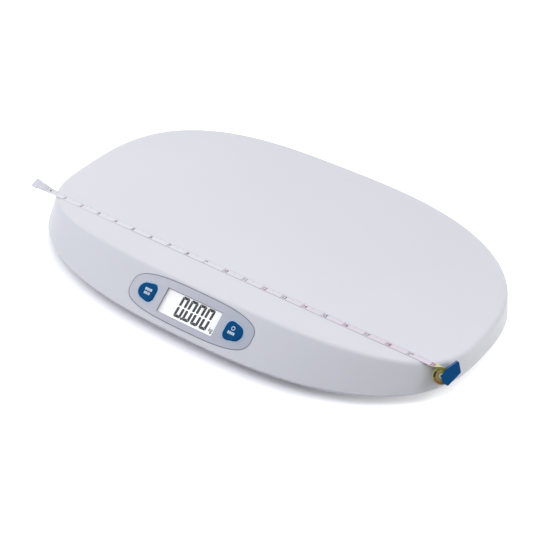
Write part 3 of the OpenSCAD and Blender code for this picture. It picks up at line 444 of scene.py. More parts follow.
CAN_PROFILE = [(0, -CELL_LEN / 2 + 0.0001), (0.0034, -CELL_LEN / 2 + 0.0001), (0.0038, -CELL_LEN / 2),
               (CELL_R - 0.0008, -CELL_LEN / 2), (CELL_R - 0.0002, -CELL_LEN / 2 + 0.0003),
               (CELL_R, -CELL_LEN / 2 + 0.0008), (CELL_R, 0.0), (CELL_R, CELL_LEN / 2 - 0.0009),
               (CELL_R - 0.0002, CELL_LEN / 2 - 0.0003), (CELL_R - 0.0007, CELL_LEN / 2),
               (NUB_R + 0.0012, CELL_LEN / 2), (NUB_R + 0.0010, CELL_LEN / 2 - 0.0003),
               (NUB_R, CELL_LEN / 2 - 0.0003), (NUB_R, CELL_LEN / 2 + NUB_LEN - 0.0002),
               (NUB_R - 0.0002, CELL_LEN / 2 + NUB_LEN), (0, CELL_LEN / 2 + NUB_LEN)]
for i in range(CELL_COUNT):
    towards = 1 if i % 2 == 0 else -1
    bm = spun(CAN_PROFILE, 48)
    lying = Matrix.Rotation(towards * math.pi / 2, 3, "Y")
    bmesh.ops.rotate(bm, verts=bm.verts, cent=(0, 0, 0), matrix=lying)
    bmesh.ops.translate(bm, verts=bm.verts, vec=(0, BAY_Y + (i - (CELL_COUNT - 1) / 2) * CELL_PITCH, CELL_Z))
    printed_can = can(f"battery_sleeve_{i + 1}", towards)
    placed(bm, f"battery_{i + 1}", printed_can, "scale_body", "batteries")
nickel = metal("contact_nickel", (0.68, 0.67, 0.64), 0.24, (1, 9, 1))
dressed("battery_contacts", "spring_contacts", nickel, 0.00008)

# ------------------------------------------------------------------ battery door
# A flat white moulded door with a snap tab and grip grooves. It hinges on two pins at its
# rear edge and swings down, and an arrow moulded on it shows which way it opens.

DOOR_FRONT, DOOR_FACE = 0.0142, 0.007
door_plastic = moulded("door_plastic", BASE_WHITE, 0.36)
dressed("battery_door", "door_panel", door_plastic, 0.0002, "battery_door")
ARROW_HALF, ARROW_LEN, ARROW_T, ARROW_PROUD = 0.0045, 0.007, 0.0004, 0.0003
tip_y, low_z = DOOR_FRONT + 0.013, DOOR_FACE - ARROW_PROUD


def thickened(bm, face, thickness):
    """Draws a flat face up into a body of some thickness."""
    grown = bmesh.ops.extrude_face_region(bm, geom=[face])
    risen = [v for v in grown["geom"] if isinstance(v, bmesh.types.BMVert)]
    bmesh.ops.translate(bm, vec=(0, 0, thickness), verts=risen)
    return [f for f in grown["geom"] if isinstance(f, bmesh.types.BMFace)]


bm = bmesh.new()
corners = [(0, tip_y, low_z), (ARROW_HALF, tip_y + ARROW_LEN, low_z), (-ARROW_HALF, tip_y + ARROW_LEN, low_z)]
thickened(bm, bm.faces.new([bm.verts.new(p) for p in corners]), ARROW_T)
eased(placed(bm, "door_arrow", door_plastic, "battery_door"), 0.0001)

# ------------------------------------------------------------------ housing screws
# Eight zinc-plated pan-head screws with cross recesses, deep in their holes in the base.

SCREW_SPOTS = [(x, y) for x in (-0.232, 0.232) for y in (-0.040, 0.040)]
SCREW_SPOTS += [(x, y) for x in (-0.100, 0.100) for y in (-0.096, 0.128)]
HEAD_R, HEAD_T, HEAD_Z, SHANK_R, SHANK_TOP = 0.0035, 0.0022, 0.0138, 0.002, 0.032
HEAD_PROFILE = [(0, HEAD_Z), (0.0022, HEAD_Z + 0.0001), (HEAD_R - 0.0005, HEAD_Z + 0.0005),
                (HEAD_R - 0.0001, HEAD_Z + 0.0011), (HEAD_R, HEAD_Z + 0.0016), (HEAD_R, HEAD_Z + HEAD_T),
                (SHANK_R, HEAD_Z + HEAD_T), (SHANK_R, SHANK_TOP), (0, SHANK_TOP)]
CROSS_LEN, CROSS_W, CROSS_DEEP = 0.0040, 0.0008, 0.0024


def cut(piece, cutters):
    """Cuts closed forms out of a piece and merges the result into its mesh."""
    for bm in cutters:
        bmesh.ops.recalc_face_normals(bm, faces=bm.faces)
        tool_mesh = bpy.data.meshes.new("tool")
        bm.to_mesh(tool_mesh)
        bm.free()
        tool = bpy.data.objects.new("tool", tool_mesh)
        bpy.context.scene.collection.objects.link(tool)
        step = piece.modifiers.new("cut", "BOOLEAN")
        step.operation, step.solver, step.object = "DIFFERENCE", "EXACT", tool
        ready = piece.evaluated_get(bpy.context.evaluated_depsgraph_get())
        result = bpy.data.meshes.new_from_object(ready)
        piece.modifiers.remove(step)
        piece.data = result
        bpy.data.objects.remove(tool)
    return piece


def block(size, centre):
    """A rectangular block, for cutting or for building on."""
    bm = bmesh.new()
    bmesh.ops.create_cube(bm, size=1.0)
    bmesh.ops.scale(bm, vec=size, verts=bm.verts)
    bmesh.ops.translate(bm, vec=centre, verts=bm.verts)
    return bm


screw = placed(spun(HEAD_PROFILE, 32), "housing_screw_set", screw_steel, "scale_body",
               "housing_screws")
cut(screw, [block((CROSS_LEN, CROSS_W, CROSS_DEEP), (0, 0, HEAD_Z)),
            block((CROSS_W, CROSS_LEN, CROSS_DEEP), (0, 0, HEAD_Z))])
bm = bmesh.new()
for x, y in SCREW_SPOTS:
    one = bmesh.new()
    one.from_mesh(screw.data)
    bmesh.ops.rotate(one, verts=one.verts, cent=(0, 0, 0), matrix=Matrix.Rotation(x * 7.0 + y * 11.0, 3, "Z"))
    bmesh.ops.translate(one, vec=(x, y, 0), verts=one.verts)
    part = bpy.data.meshes.new("one")
    one.to_mesh(part)
    one.free()
    bm.from_mesh(part)
bm.to_mesh(screw.data)
bm.free()
smoothed(screw, 32)

# ------------------------------------------------------------------ circuit board
# A green glass-fibre board hangs under the console slope on four screws, with its chips and
# sockets on the back and the two switches and the display's contact strips on the front.

SLOPE = math.radians(37.9924)
CREST_Y, CREST_Z = -0.1135, 0.0464145
on_slope = Matrix.Translation((0, CREST_Y, CREST_Z)) @ Matrix.Rotation(SLOPE, 4, "X")


def solder_mask():
    """Green solder mask with the faint relief of tracks under it."""
    f = Finish("solder_mask", Roughness=0.32, Coat_Weight=0.3, Coat_Roughness=0.15)
    spot = f.node("ShaderNodeMapping", {}, f.place(), Scale=(1.0, 1.27, 1.27))
    uneven_rows = {"offset": 0.37, "squash": 2.4}
    tracks = f.node("ShaderNodeTexBrick", uneven_rows, spot, Scale=210.0, Mortar_Size=0.035, out=1)
    f.set("Base Color", f.mix(tracks, (0.012, 0.12, 0.055), (0.03, 0.22, 0.10)))
    f.uneven(260.0, 3.0, 0.35, 0.7, 0.26, 0.42)
    f.bump(tracks + f.noise(900.0, 2.0) * 0.2, 0.00004, 0.5)
    return f.material


wear(["main_board"], solder_mask())
chip_epoxy = moulded("chip_epoxy", (0.020, 0.020, 0.022), 0.5)
wear(["board_components", "left_plunger", "right_plunger"], chip_epoxy)
wear(["board_sockets"], moulded("socket_nylon", (0.72, 0.69, 0.58), 0.45))
wear(["left_switch", "right_switch"], metal("switch_can", (0.62, 0.63, 0.64), 0.3))

# ------------------------------------------------------------------ display
# A liquid-crystal display: a white field with black seven-segment figures, which
# glows with painted light. It lies in a moulded holder over a white diffuser, behind a clear window.

WINDOW_LEN, WINDOW_W, WINDOW_V = 71.5, 27.5, -26.2
LCD_TOP = -3.3


def raised(outlines, low, high):
    """Flat outlines in the slope's plane (along, up), in millimetres, given thickness."""
    bm = bmesh.new()
    for outline in outlines:
        thickened(bm, bm.faces.new([bm.verts.new((u, v, low)) for u, v in outline]), high - low)
    return bm


def merged(bm):
    """Joins points that lie within a thousandth of a millimetre."""
    bmesh.ops.remove_doubles(bm, verts=bm.verts, dist=1e-3)
    return bm


def bar(u, v, wide, high):
    return [(u - wide / 2, v - high / 2), (u + wide / 2, v - high / 2),
            (u + wide / 2, v + high / 2), (u - wide / 2, v + high / 2)]


def laid_on_slope(bm):
    """Moves a form from the slope's plane, in millimetres, to its place on the body."""
    bmesh.ops.transform(bm, matrix=on_slope @ Matrix.Scale(MM, 4), verts=bm.verts)
    return bm


# The field glows with painted light (emission), so that it reads bright inside its recess.
field = Finish("lcd_field_painted_glow", Roughness=0.30, Emission_Strength=0.40, Emission_Color=(1.0, 1.0, 1.0, 1))
field.set("Base Color", field.mottled(45.0, 3.0, 0.3, 0.7, (0.86, 0.89, 0.88), (0.90, 0.92, 0.92)))
field.uneven(1200.0, 2.0, 0.3, 0.7, 0.25, 0.36)
field.bump(field.noise(2600.0, 1.0), 0.00002, 0.2)
wear(["lcd_panel"], field.material)

DIGIT_W, DIGIT_TOP, DIGIT_LOW, STROKE, GAP, LEAN = 9.3, -13.5, -37.1, 3.05, 0.7, 1.1
DIGIT_AT = [-12.0, -0.9, 10.2, 21.3]


def zero(centre):
    """The six outer segments of a seven-segment figure, mitred, with its corners rounded off."""
    mid = (DIGIT_TOP + DIGIT_LOW) / 2
    half, high, cut_off, mitre = DIGIT_W / 2, (DIGIT_TOP - DIGIT_LOW) / 2, 1.3, 0.12
    across = [(-half + cut_off, high), (half - cut_off, high),
              (half - cut_off / 2 - mitre, high - cut_off / 2),
              (half - STROKE - mitre, high - STROKE), (-half + STROKE + mitre, high - STROKE),
              (-half + cut_off / 2 + mitre, high - cut_off / 2)]
    down = [(-half, high - cut_off), (-half + cut_off / 2, high - cut_off / 2 - mitre),
            (-half + STROKE, high - STROKE - mitre), (-half + STROKE, GAP / 2 + STROKE * 0.3),
            (-half + STROKE * 0.5, GAP / 2), (-half, GAP / 2 + STROKE * 0.3)]
    shapes = [[(u, way * v) for u, v in across] for way in (1, -1)]
    shapes += [[(side * u, way * v) for u, v in down] for side in (1, -1) for way in (1, -1)]
    return [[(centre + u + LEAN * v / (2 * high), mid + v) for u, v in shape] for shape in shapes]


ink = Finish("lcd_ink", Roughness=0.5)
ink.set("Base Color", ink.mottled(700.0, 2.0, 0.35, 0.65, (0.010, 0.011, 0.012), (0.018, 0.019, 0.020)))
ink.uneven(500.0, 2.0, 0.3, 0.7, 0.45, 0.6)
ink_black = ink.material
figures = [shape for centre in DIGIT_AT for shape in zero(centre)]
DOT_U, DOT_V, DOT_SIDE, FILM = -6.5, -36.3, 2.3, 0.03
figures.append(bar(DOT_U, DOT_V, DOT_SIDE, DOT_SIDE))
raised_figures = laid_on_slope(raised(figures, LCD_TOP, LCD_TOP + FILM))
placed(raised_figures, "display_figures", ink_black, "scale_body")


def lettered(words, size, extrude=0.0, bold=0.0):
    """Plain figures or a unit mark as a mesh in its own plane, in millimetres."""
    text = bpy.data.curves.new("letters", "FONT")
    text.body, text.size, text.extrude, text.align_x, text.align_y = words, size, extrude, "CENTER", "CENTER"
    text.offset = bold
    thing = bpy.data.objects.new("letters", text)
    bpy.context.scene.collection.objects.link(thing)
    ready = thing.evaluated_get(bpy.context.evaluated_depsgraph_get())
    mesh = bpy.data.meshes.new_from_object(ready)
    bm = bmesh.new()
    bm.from_mesh(mesh)
    bmesh.ops.remove_doubles(bm, verts=bm.verts, dist=1e-5)
    bpy.data.objects.remove(thing)
    return bm


UNIT_U, UNIT_V, UNIT_SIZE = 30.6, -33.6, 6.6
unit = lettered("kg", UNIT_SIZE, FILM / 2, 0.1)
bmesh.ops.scale(unit, vec=(0.82, 1.1, 1), verts=unit.verts)
bmesh.ops.translate(unit, vec=(UNIT_U, UNIT_V, LCD_TOP + 0.016), verts=unit.verts)
placed(laid_on_slope(unit), "display_unit", ink_black, "scale_body")

glass = Finish("window_acrylic", Base_Color=(0.05, 0.05, 0.06, 1), Roughness=0.04, Alpha=0.04,
               Specular_IOR_Level=0.2)
glass.uneven(80.0, 4.0, 0.4, 0.75, 0.03, 0.09)
glass.bump(glass.noise(30.0, 2.0), 0.00003, 0.05)
dressed("display_lens", "display_window", glass.material, 0.0002)
# A thin dark border on the lens round the window is painted shade, standing in for the shadow on the walls of
# the opening.
BORDER, BORDER_LOW, BORDER_HIGH = 0.4, -1.99, -1.96
border = []
for side in (-1, 1):
    border.append(bar(0, WINDOW_V + side * (WINDOW_W - BORDER) / 2, WINDOW_LEN + BORDER, BORDER))
    border.append(bar(side * (WINDOW_LEN - BORDER) / 2, WINDOW_V, BORDER, WINDOW_W))
window_shade_paint = moulded("window_edge_painted_shade", (0.16, 0.155, 0.20), 0.6, Specular_IOR_Level=0.2)
raised_border = laid_on_slope(raised(border, BORDER_LOW, BORDER_HIGH))
placed(raised_border, "window_border", window_shade_paint, "scale_body")
wear(["light_guide"], moulded("diffuser_acrylic", (0.86, 0.88, 0.88), 0.25))
wear(["display_holder"], moulded("holder_plastic", (0.66, 0.66, 0.64), 0.45))
wear(["zebra_strips"], rubber("zebra_rubber", (0.42, 0.16, 0.22), 0.6))

# ------------------------------------------------------------------ buttons
# Two blue caps, round towards the panel's ends and with two rounded inner corners. They
# stand just proud of the panel, with white marks printed on them, and press down 0.8 mm.

NOSE_R, CORNER_R, CORNER_IN, CORNER_HALF, STEM_IN = 8.5, 6.0, 6.6, 3.9, 4.1
BUTTON_X, BUTTON_V, PROUD, FLANGE = 58.8, -25.7, 0.9, -2.75
BLUE = (0.001, 0.076, 0.225)


def button_edge(grow, fine=20):
    """Outline of a button, nose to the left, grown by a few tenths of a millimetre."""
    r1, r2 = NOSE_R + grow, CORNER_R + grow
    reach = math.hypot(CORNER_IN, CORNER_HALF)
    lean = math.atan2(CORNER_HALF, CORNER_IN) + math.acos((r1 - r2) / reach)
    arcs = [((0, 0), r1, lean, math.tau - lean), ((CORNER_IN, -CORNER_HALF), r2, -lean, 0),
            ((CORNER_IN, CORNER_HALF), r2, 0, lean)]
    turns = [(c, r, a0 + (a1 - a0) * k / fine) for (c, r, a0, a1) in arcs for k in range(fine + 1)]
    return [(c[0] + r * math.cos(a), c[1] + r * math.sin(a)) for c, r, a in turns]


def at_button(points, side):
    return [(side * (BUTTON_X - u), v + BUTTON_V) for u, v in points]


def cap_finish():
    """Deep blue moulded cap, semi-gloss, polished by fingers towards its middle."""
    f = Finish("button_plastic", Roughness=0.42, Specular_IOR_Level=0.03)
    f.set("Base Color", f.mottled(70.0, 3.0, 0.3, 0.7, BLUE, tuple(c * 1.12 + 0.002 for c in BLUE)))
    f.uneven(130.0, 5.0, 0.35, 0.7, 0.30, 0.46)
    f.bump(f.noise(1600.0, 2.0), 0.00005, 0.3)
    return f.material


def printed(name, colour):
    """Pad-printed ink with slightly broken edges of gloss, also used for a line of painted shade."""
    f = Finish(name, Roughness=0.5)
    f.set("Base Color", f.mottled(500.0, 4.0, 0.4, 0.75, colour, toned(colour, 0.82), 0.5))
    f.uneven(900.0, 2.0, 0.3, 0.7, 0.42, 0.62)
    f.bump(f.noise(2200.0, 2.0), 0.00002, 0.3)
    return f.material


def between(inner, outer):
    """The strip between two closed outlines of as many points, as short pieces."""
    return [[inner[k - 1], outer[k - 1], outer[k], inner[k]] for k in range(len(inner))]


def ring(centre, inner, outer, parts=28):
    """A flat ring as short straight pieces."""
    turns = [math.tau * k / parts for k in range(parts)]
    circle = lambda r: [(centre[0] + r * math.cos(a), centre[1] + r * math.sin(a)) for a in turns]
    return between(circle(inner), circle(outer))


cap_blue = cap_finish()
mark_white = printed("mark_ink", (0.62, 0.74, 0.84))
halo_ink = printed("halo_ink", (0.47, 0.66, 0.88))


def row(v, widths, high, gap=0.45):
    """A row of short solid blocks, centred, standing for a printed line."""
    total = sum(widths) + gap * (len(widths) - 1)
    starts = [-total / 2 + sum(widths[:k]) + gap * k for k in range(len(widths))]
    return [bar(a + w / 2, v, w, high) for a, w in zip(starts, widths)]


MARKS = {
    "left": [*row(2.2, (1.9, 2.0, 1.5, 1.9), 2.9), *row(-2.0, (1.8, 1.7, 0.8, 1.7), 2.8)],
    "right": [*ring((0, 3.2), 1.45, 2.3), *row(-2.0, (1.7, 1.6, 1.8, 1.9), 2.9)],
}
EDGE_HIGH, SKIRT, SKIRT_LOW, MARK_IN = 0.35, 1.2, -3.75, 3.4
DOME = [(0.08, 0.16), (0.14, 0.11), (0.22, 0.06), (0.6, 0.03), (1.4, 0.02), (2.0, -0.02), (2.0, -0.04)]
STEM_PROFILE = [(0, -4.3), (3.0, -4.3), (3.0, -3.3), (0, -3.3)]
for name, side in (("left", -1), ("right", 1)):
    bm = bmesh.new()
    bm.faces.new([bm.verts.new((u, v, FLANGE)) for u, v in at_button(button_edge(0.0), side)])
    top = thickened(bm, merged(bm).faces[:][0], PROUD - EDGE_HIGH - FLANGE)
    for inset, up in DOME:
        bmesh.ops.inset_region(bm, faces=top, thickness=inset, depth=0.0, use_boundary=True,
                               use_even_offset=True)
        bmesh.ops.translate(bm, vec=(0, 0, up), verts=list({v for f in top for v in f.verts}))
    part = bpy.data.meshes.new("skirt")
    merged(raised([at_button(button_edge(SKIRT), side)], SKIRT_LOW, FLANGE)).to_mesh(part)
    bm.from_mesh(part)
    spun(STEM_PROFILE, 32, (side * (BUTTON_X - STEM_IN), BUTTON_V, 0)).to_mesh(part)
    bm.from_mesh(part)
    body = name + "_button"
    placed(laid_on_slope(bm), name + "_button_cap", cap_blue, body, name + "_button")
    shift = side * (BUTTON_X - MARK_IN)
    marks = [[(u + shift, v + BUTTON_V) for u, v in shape] for shape in MARKS[name]]
    raised_marks = laid_on_slope(raised(marks, PROUD - 0.12, PROUD + 0.055))
    placed(raised_marks, name + "_button_mark", mark_white, body)

# ------------------------------------------------------------------ top housing
# The tray, its rounded rim, the side walls and the sloping front are one satin white ABS
# moulding. The tray is a shallow gutter, lowest along its middle; the console is let into
# the slope at its front.

HALF_LEN, HALF_DEPTH, TRAY_FRONT, FULLNESS, FOOT_FULLNESS = 270.0, 155.0, 113.5, 2.85, 2.55
DRAFT, PARTING, TRAY_FLOOR, TRAY_RADIUS = 2.2, 14.0, 35.0, 570.0
RIM_FRONT, RIM_END = 2.8, 5.0
WALL, STATIONS = 2.6, 288


def oval(a, b, t, fullness=FULLNESS):
    power, across, along = 2 / fullness, math.cos(t), math.sin(t)
    return (math.copysign(abs(across) ** power, across) * a, math.copysign(abs(along) ** power, along) * b)


def tray_height(y):
    return TRAY_FLOOR + TRAY_RADIUS - math.sqrt(TRAY_RADIUS ** 2 - y * y)


def foot_at(t, inset):
    front = inset / math.sin(SLOPE)
    ahead = math.sin(t) < 0
    fullness = FOOT_FULLNESS if ahead else FULLNESS
    x, y = oval(HALF_LEN - inset, HALF_DEPTH - (front if ahead else inset), t, fullness)
    return Vector((x, y, PARTING))


def tray_at(t, inset, extra, share):
    front, back = TRAY_FRONT - inset * math.tan(SLOPE / 2), HALF_DEPTH - DRAFT - inset
    x, y = oval(HALF_LEN - DRAFT - inset - extra, (front if math.sin(t) < 0 else back) - extra, t)
    return Vector((x * share, y * share, tray_height(y * share) - inset))


def rim_len(t):
    return RIM_FRONT + (RIM_END - RIM_FRONT) * math.cos(t) ** 2


def rim_at(t, s):
    crest = tray_at(t, 0, 0, 1)
    low = crest + rim_len(t) * (foot_at(t, 0) - crest).normalized()
    inner = tray_at(t, 0, rim_len(t), 1)
    return (1 - s) ** 2 * low + 2 * s * (1 - s) * crest + s * s * inner


SHARES = [0.985, 0.96, 0.92, 0.86, 0.79, 0.72, 0.64, 0.56, 0.48, 0.40, 0.32, 0.24, 0.16, 0.08]
SIDE = [k / 7 for k in range(8)]
BEND = [k / 8 for k in range(9)]
stations = [lambda t: tray_at(t, WALL, 0, 0.0)]
stations += [lambda t, k=k: tray_at(t, WALL, 0, k) for k in reversed(SHARES)]
stations += [lambda t: tray_at(t, WALL, 0, 1), lambda t: foot_at(t, WALL)]
stations += [lambda t, k=k: foot_at(t, 0).lerp(rim_at(t, 0), k) for k in SIDE[:-1]]
stations += [lambda t, s=s: rim_at(t, s) for s in BEND]
stations += [lambda t, k=k: tray_at(t, 0, rim_len(t), k) for k in SHARES]
stations += [lambda t: Vector((0, 0, TRAY_FLOOR))]
last = len(stations) - 1
bm = spun([(0.0 if j in (0, last) else 1.0, float(j)) for j in range(last + 1)], STATIONS)
for v in bm.verts:
    v.co = stations[round(v.co.z)](math.atan2(v.co.y, v.co.x) + math.pi / STATIONS) * MM


def slope_rise(u, v):
    """How far the slope's own surface stands out of its middle plane at a place on it."""
    crest_y = -TRAY_FRONT * (1 - (abs(u) / (HALF_LEN - DRAFT)) ** FULLNESS) ** (1 / FULLNESS)
    foot_y = -HALF_DEPTH * (1 - (abs(u) / HALF_LEN) ** FOOT_FULLNESS) ** (1 / FOOT_FULLNESS)
    ends = []
    for y, z in ((crest_y, tray_height(crest_y)), (foot_y, PARTING)):
        dy, dz = y + TRAY_FRONT, z - CREST_Z / MM
        ends.append((dy * math.cos(SLOPE) + dz * math.sin(SLOPE),
                     -dy * math.sin(SLOPE) + dz * math.cos(SLOPE)))
    (v0, w0), (v1, w1) = ends
    return w0 + (v - v0) / (v1 - v0) * (w1 - w0)


def followed(bm):
    """Lays a form on the slope's own curved surface."""
    for v in bm.verts:
        v.co.z += slope_rise(v.co.x, v.co.y)
    return laid_on_slope(bm)


def draped(bm, step=6.0):
    """Splits a flat form along the console, so that it can follow the slope's surface."""
    for k in range(-14, 15):
        bmesh.ops.bisect_plane(bm, geom=bm.verts[:] + bm.edges[:] + bm.faces[:], dist=1e-5,
                               plane_co=(k * step, 0, 0), plane_no=(1, 0, 0))
    return followed(bm)


PANEL_LEN, PANEL_W, PANEL_V, PANEL_POWER, PANEL_T, FIT = 158.6, 43.8, -25.0, 3.1, 1.4, 0.3
DEEP, CLEAR, HOLE_ROOM, LENS_ROOM = -9.0, 6.0, 1.5, 2.0


def pill(grow, fine=160):
    """The panel's outline: an oval between an ellipse and a rectangle."""
    power = 2 / PANEL_POWER
    spots = [math.tau * k / fine for k in range(fine)]
    side = lambda half, c: math.copysign(abs(c) ** power, c) * (half + grow)
    return [(side(PANEL_LEN / 2, math.cos(t)), side(PANEL_W / 2, math.sin(t)) + PANEL_V) for t in spots]


def window(grow):
    return bar(0, WINDOW_V, WINDOW_LEN + 2 * grow, WINDOW_W + 2 * grow)


def openings(window_room, button_room, high):
    """Cutters for the window and the two buttons, grown by the room each is given."""
    outlines = [at_button(button_edge(button_room), side) for side in (-1, 1)]
    return [laid_on_slope(merged(raised([o], DEEP, high))) for o in (window(window_room), *outlines)]


shell_plastic = moulded("shell_plastic", WHITE, 0.42, low_darkening=0.12, Specular_IOR_Level=0.3)
shell = placed(bm, "tray_shell", shell_plastic, "scale_body", "top_housing", sharp=40.0)
pocket = draped(raised([pill(FIT)], -PANEL_T - 0.2, CLEAR))
cut(shell, [pocket, *openings(LENS_ROOM + FIT, HOLE_ROOM, CLEAR / 2)])
smoothed(shell, 40)

# ------------------------------------------------------------------ console panel
# A grey pill-shaped overlay lies flush in its pocket in the slope, with openings for the
# window and the two buttons. Its face is finely matt.

PANEL_GREY, PANEL_SHADED_RIGHT = (0.575, 0.58, 0.645), (0.475, 0.51, 0.59)


def panel_finish():
    """Matt printed overlay, with a fine even grain and slight rubbing at the buttons, darker and bluer
    towards its right end as painted shade.
    """
    f = Finish("panel_overlay", Roughness=0.45)
    # Painted shade: the tone turns darker and bluer towards the panel's right end.
    tone = f.mix(f.ramp(f.place("X"), -0.035, 0.075, 0.0, 1.0), PANEL_GREY, PANEL_SHADED_RIGHT)
    f.set("Base Color", f.mottled(24.0, 3.0, 0.3, 0.7, tone, toned(PANEL_GREY, 0.92), 0.6))
    f.uneven(90.0, 4.0, 0.35, 0.7, 0.40, 0.54)
    f.bump(f.noise(2400.0, 2.0), 0.00006, 0.4)
    return f.material


PANEL_FACE, PRINT_LOW, PRINT_HIGH = 0.08, 0.07, 0.10
overlay = draped(raised([pill(0.0)], -PANEL_T, PANEL_FACE))
panel = placed(overlay, "console_overlay", panel_finish(), "scale_body", "console_panel")
cut(panel, openings(0.0, FIT, CLEAR))
smoothed(panel, 32)
# The walls of the window opening take the same dark painted shade.
panel.data.materials.append(window_shade_paint)
for face in panel.data.polygons:
    u, v, w = (on_slope.inverted() @ face.center) / MM
    upright = abs((on_slope.to_3x3().inverted() @ face.normal).z) < 0.3
    if upright and abs(u) < WINDOW_LEN / 2 + 0.05 and abs(v - WINDOW_V) < WINDOW_W / 2 - 0.05:
        face.material_index = 1
eased(panel, 0.00018)
# A dark line just inside the panel's edge is painted shade, standing in for the shadow in the gap round the
# overlay.
outline_shade_paint = printed("panel_edge_painted_shade", (0.19, 0.20, 0.26))
outline = merged(raised(between(pill(-0.72), pill(-0.16)), PRINT_LOW, PRINT_HIGH))
placed(followed(outline), "console_outline", outline_shade_paint, "scale_body")
for name, side in (("left", -1), ("right", 1)):
    strips = between(at_button(button_edge(0.42), side), at_button(button_edge(1.5), side))
    halo = merged(raised(strips, PRINT_LOW, PRINT_HIGH))
    placed(followed(halo), name + "_button_halo", halo_ink, "scale_body")

# ------------------------------------------------------------------ tape measure
# A coated glass-fibre tape, 8 mm wide, lies straight along the tray with its white side up.
# It is printed with inch marks and plain numbers, turns over the rim at the right, and runs
# onto its spool in a blue case that leans on the wall.

TAPE_W, TAPE_T, TAPE_Y, TAPE_START, TAPE_LIFT = 8.0, 0.2, -66.0, -273.0, 0.2
INCH, INCH_ZERO, INCHES = 25.4, -261.4, 20
TILT = math.asin(-TAPE_Y / TRAY_RADIUS)
TAPE_Z = tray_height(TAPE_Y) + TAPE_LIFT + TAPE_T / 2
CASE_LEAN, CASE_TURN = math.radians(54.0), math.radians(-53.0)
CASE_FOOT = Vector((HALF_LEN - 17.5, TAPE_Y + 0.7, TAPE_Z - 12.8))
CASE_OFF, CASE_DEPTH, ROLL_R, SPOOL_AT = 2.95, 12.0, 8.5, 4.8
case_n = Vector((math.sin(CASE_LEAN) * math.cos(CASE_TURN), math.sin(CASE_LEAN) * math.sin(CASE_TURN),
                 math.cos(CASE_LEAN)))
case_u = Vector((-math.sin(CASE_TURN), math.cos(CASE_TURN), 0))
case_v = case_n.cross(case_u)


def in_case(u, v, w):
    return CASE_FOOT + u * case_u + v * case_v + w * case_n


# The tape's line and the way its width points: at the free end, over the rim and at the roll
roll_top = in_case(SPOOL_AT, ROLL_R + FIT + TAPE_T / 2, CASE_OFF + CASE_DEPTH / 2)
flat = (0, math.cos(TILT), -math.sin(TILT))
FREE_END = [(0, 2.6, 20), (8, 2.0, 20), (16, 1.4, 11), (25, 0.7, -1), (33, 0.25, -4.5)]
ROUTE = [(Vector((TAPE_START + x, TAPE_Y, TAPE_Z + z)),
          Vector((0, math.cos(math.radians(a)), math.sin(math.radians(a))))) for x, z, a in FREE_END]
ROUTE += [(Vector((TAPE_START + 42.0, TAPE_Y, TAPE_Z)), Vector(flat))]
ROUTE += [(Vector((HALF_LEN + x, TAPE_Y + y, TAPE_Z + z)), Vector(w)) for (x, y, z), w in
          (((-32, 0, 0), flat), ((-25, 0, 0.1), (0, 0.99, -0.12)), ((-20.5, 0.2, 0.1), (-0.04, 0.98, -0.15)),
           ((-16.8, 1, 0), (-0.12, 0.96, -0.22)))]
ROUTE += [(roll_top, -case_n), (roll_top + 1.5 * case_u, -case_n)]
LEGS = [5, 4, 4, 4, 4, 60, 5, 4, 4, 6, 3]


def tape_spots():
    """Places along the tape's middle line with the direction of its width at each."""
    spots = []
    for i, parts in enumerate(LEGS):
        (p1, w1), (p2, w2) = ROUTE[i], ROUTE[i + 1]
        p0, p3 = ROUTE[max(i - 1, 0)][0], ROUTE[min(i + 2, len(ROUTE) - 1)][0]
        m1 = (p2 - p0).normalized() * (p2 - p1).length
        m2 = (p3 - p1).normalized() * (p2 - p1).length
        for k in range(parts + (i == len(LEGS) - 1)):
            s = k / parts
            h = (2 * s ** 3 - 3 * s * s + 1, s ** 3 - 2 * s * s + s, 3 * s * s - 2 * s ** 3, s ** 3 - s * s)
            spots.append((h[0] * p1 + h[1] * m1 + h[2] * p2 + h[3] * m2, (w1.lerp(w2, s)).normalized()))
    return spots


spots = tape_spots()
bm = bmesh.new()
bmesh.ops.create_grid(bm, x_segments=len(spots) - 1, y_segments=6, size=1.0)
for v in bm.verts:
    k = round((v.co.x + 1) / 2 * (len(spots) - 1))
    middle, wide = spots[k]
    ahead = (spots[min(k + 1, len(spots) - 1)][0] - spots[max(k - 1, 0)][0]).normalized()
    wide = (wide - wide.dot(ahead) * ahead).normalized()
    v.co = (middle + wide * v.co.y * TAPE_W / 2) * MM
bmesh.ops.recalc_face_normals(bm, faces=bm.faces)
grown = bmesh.ops.solidify(bm, geom=bm.faces[:], thickness=TAPE_T * MM)
middle_line = [tuple(p * MM) for p, _ in spots]


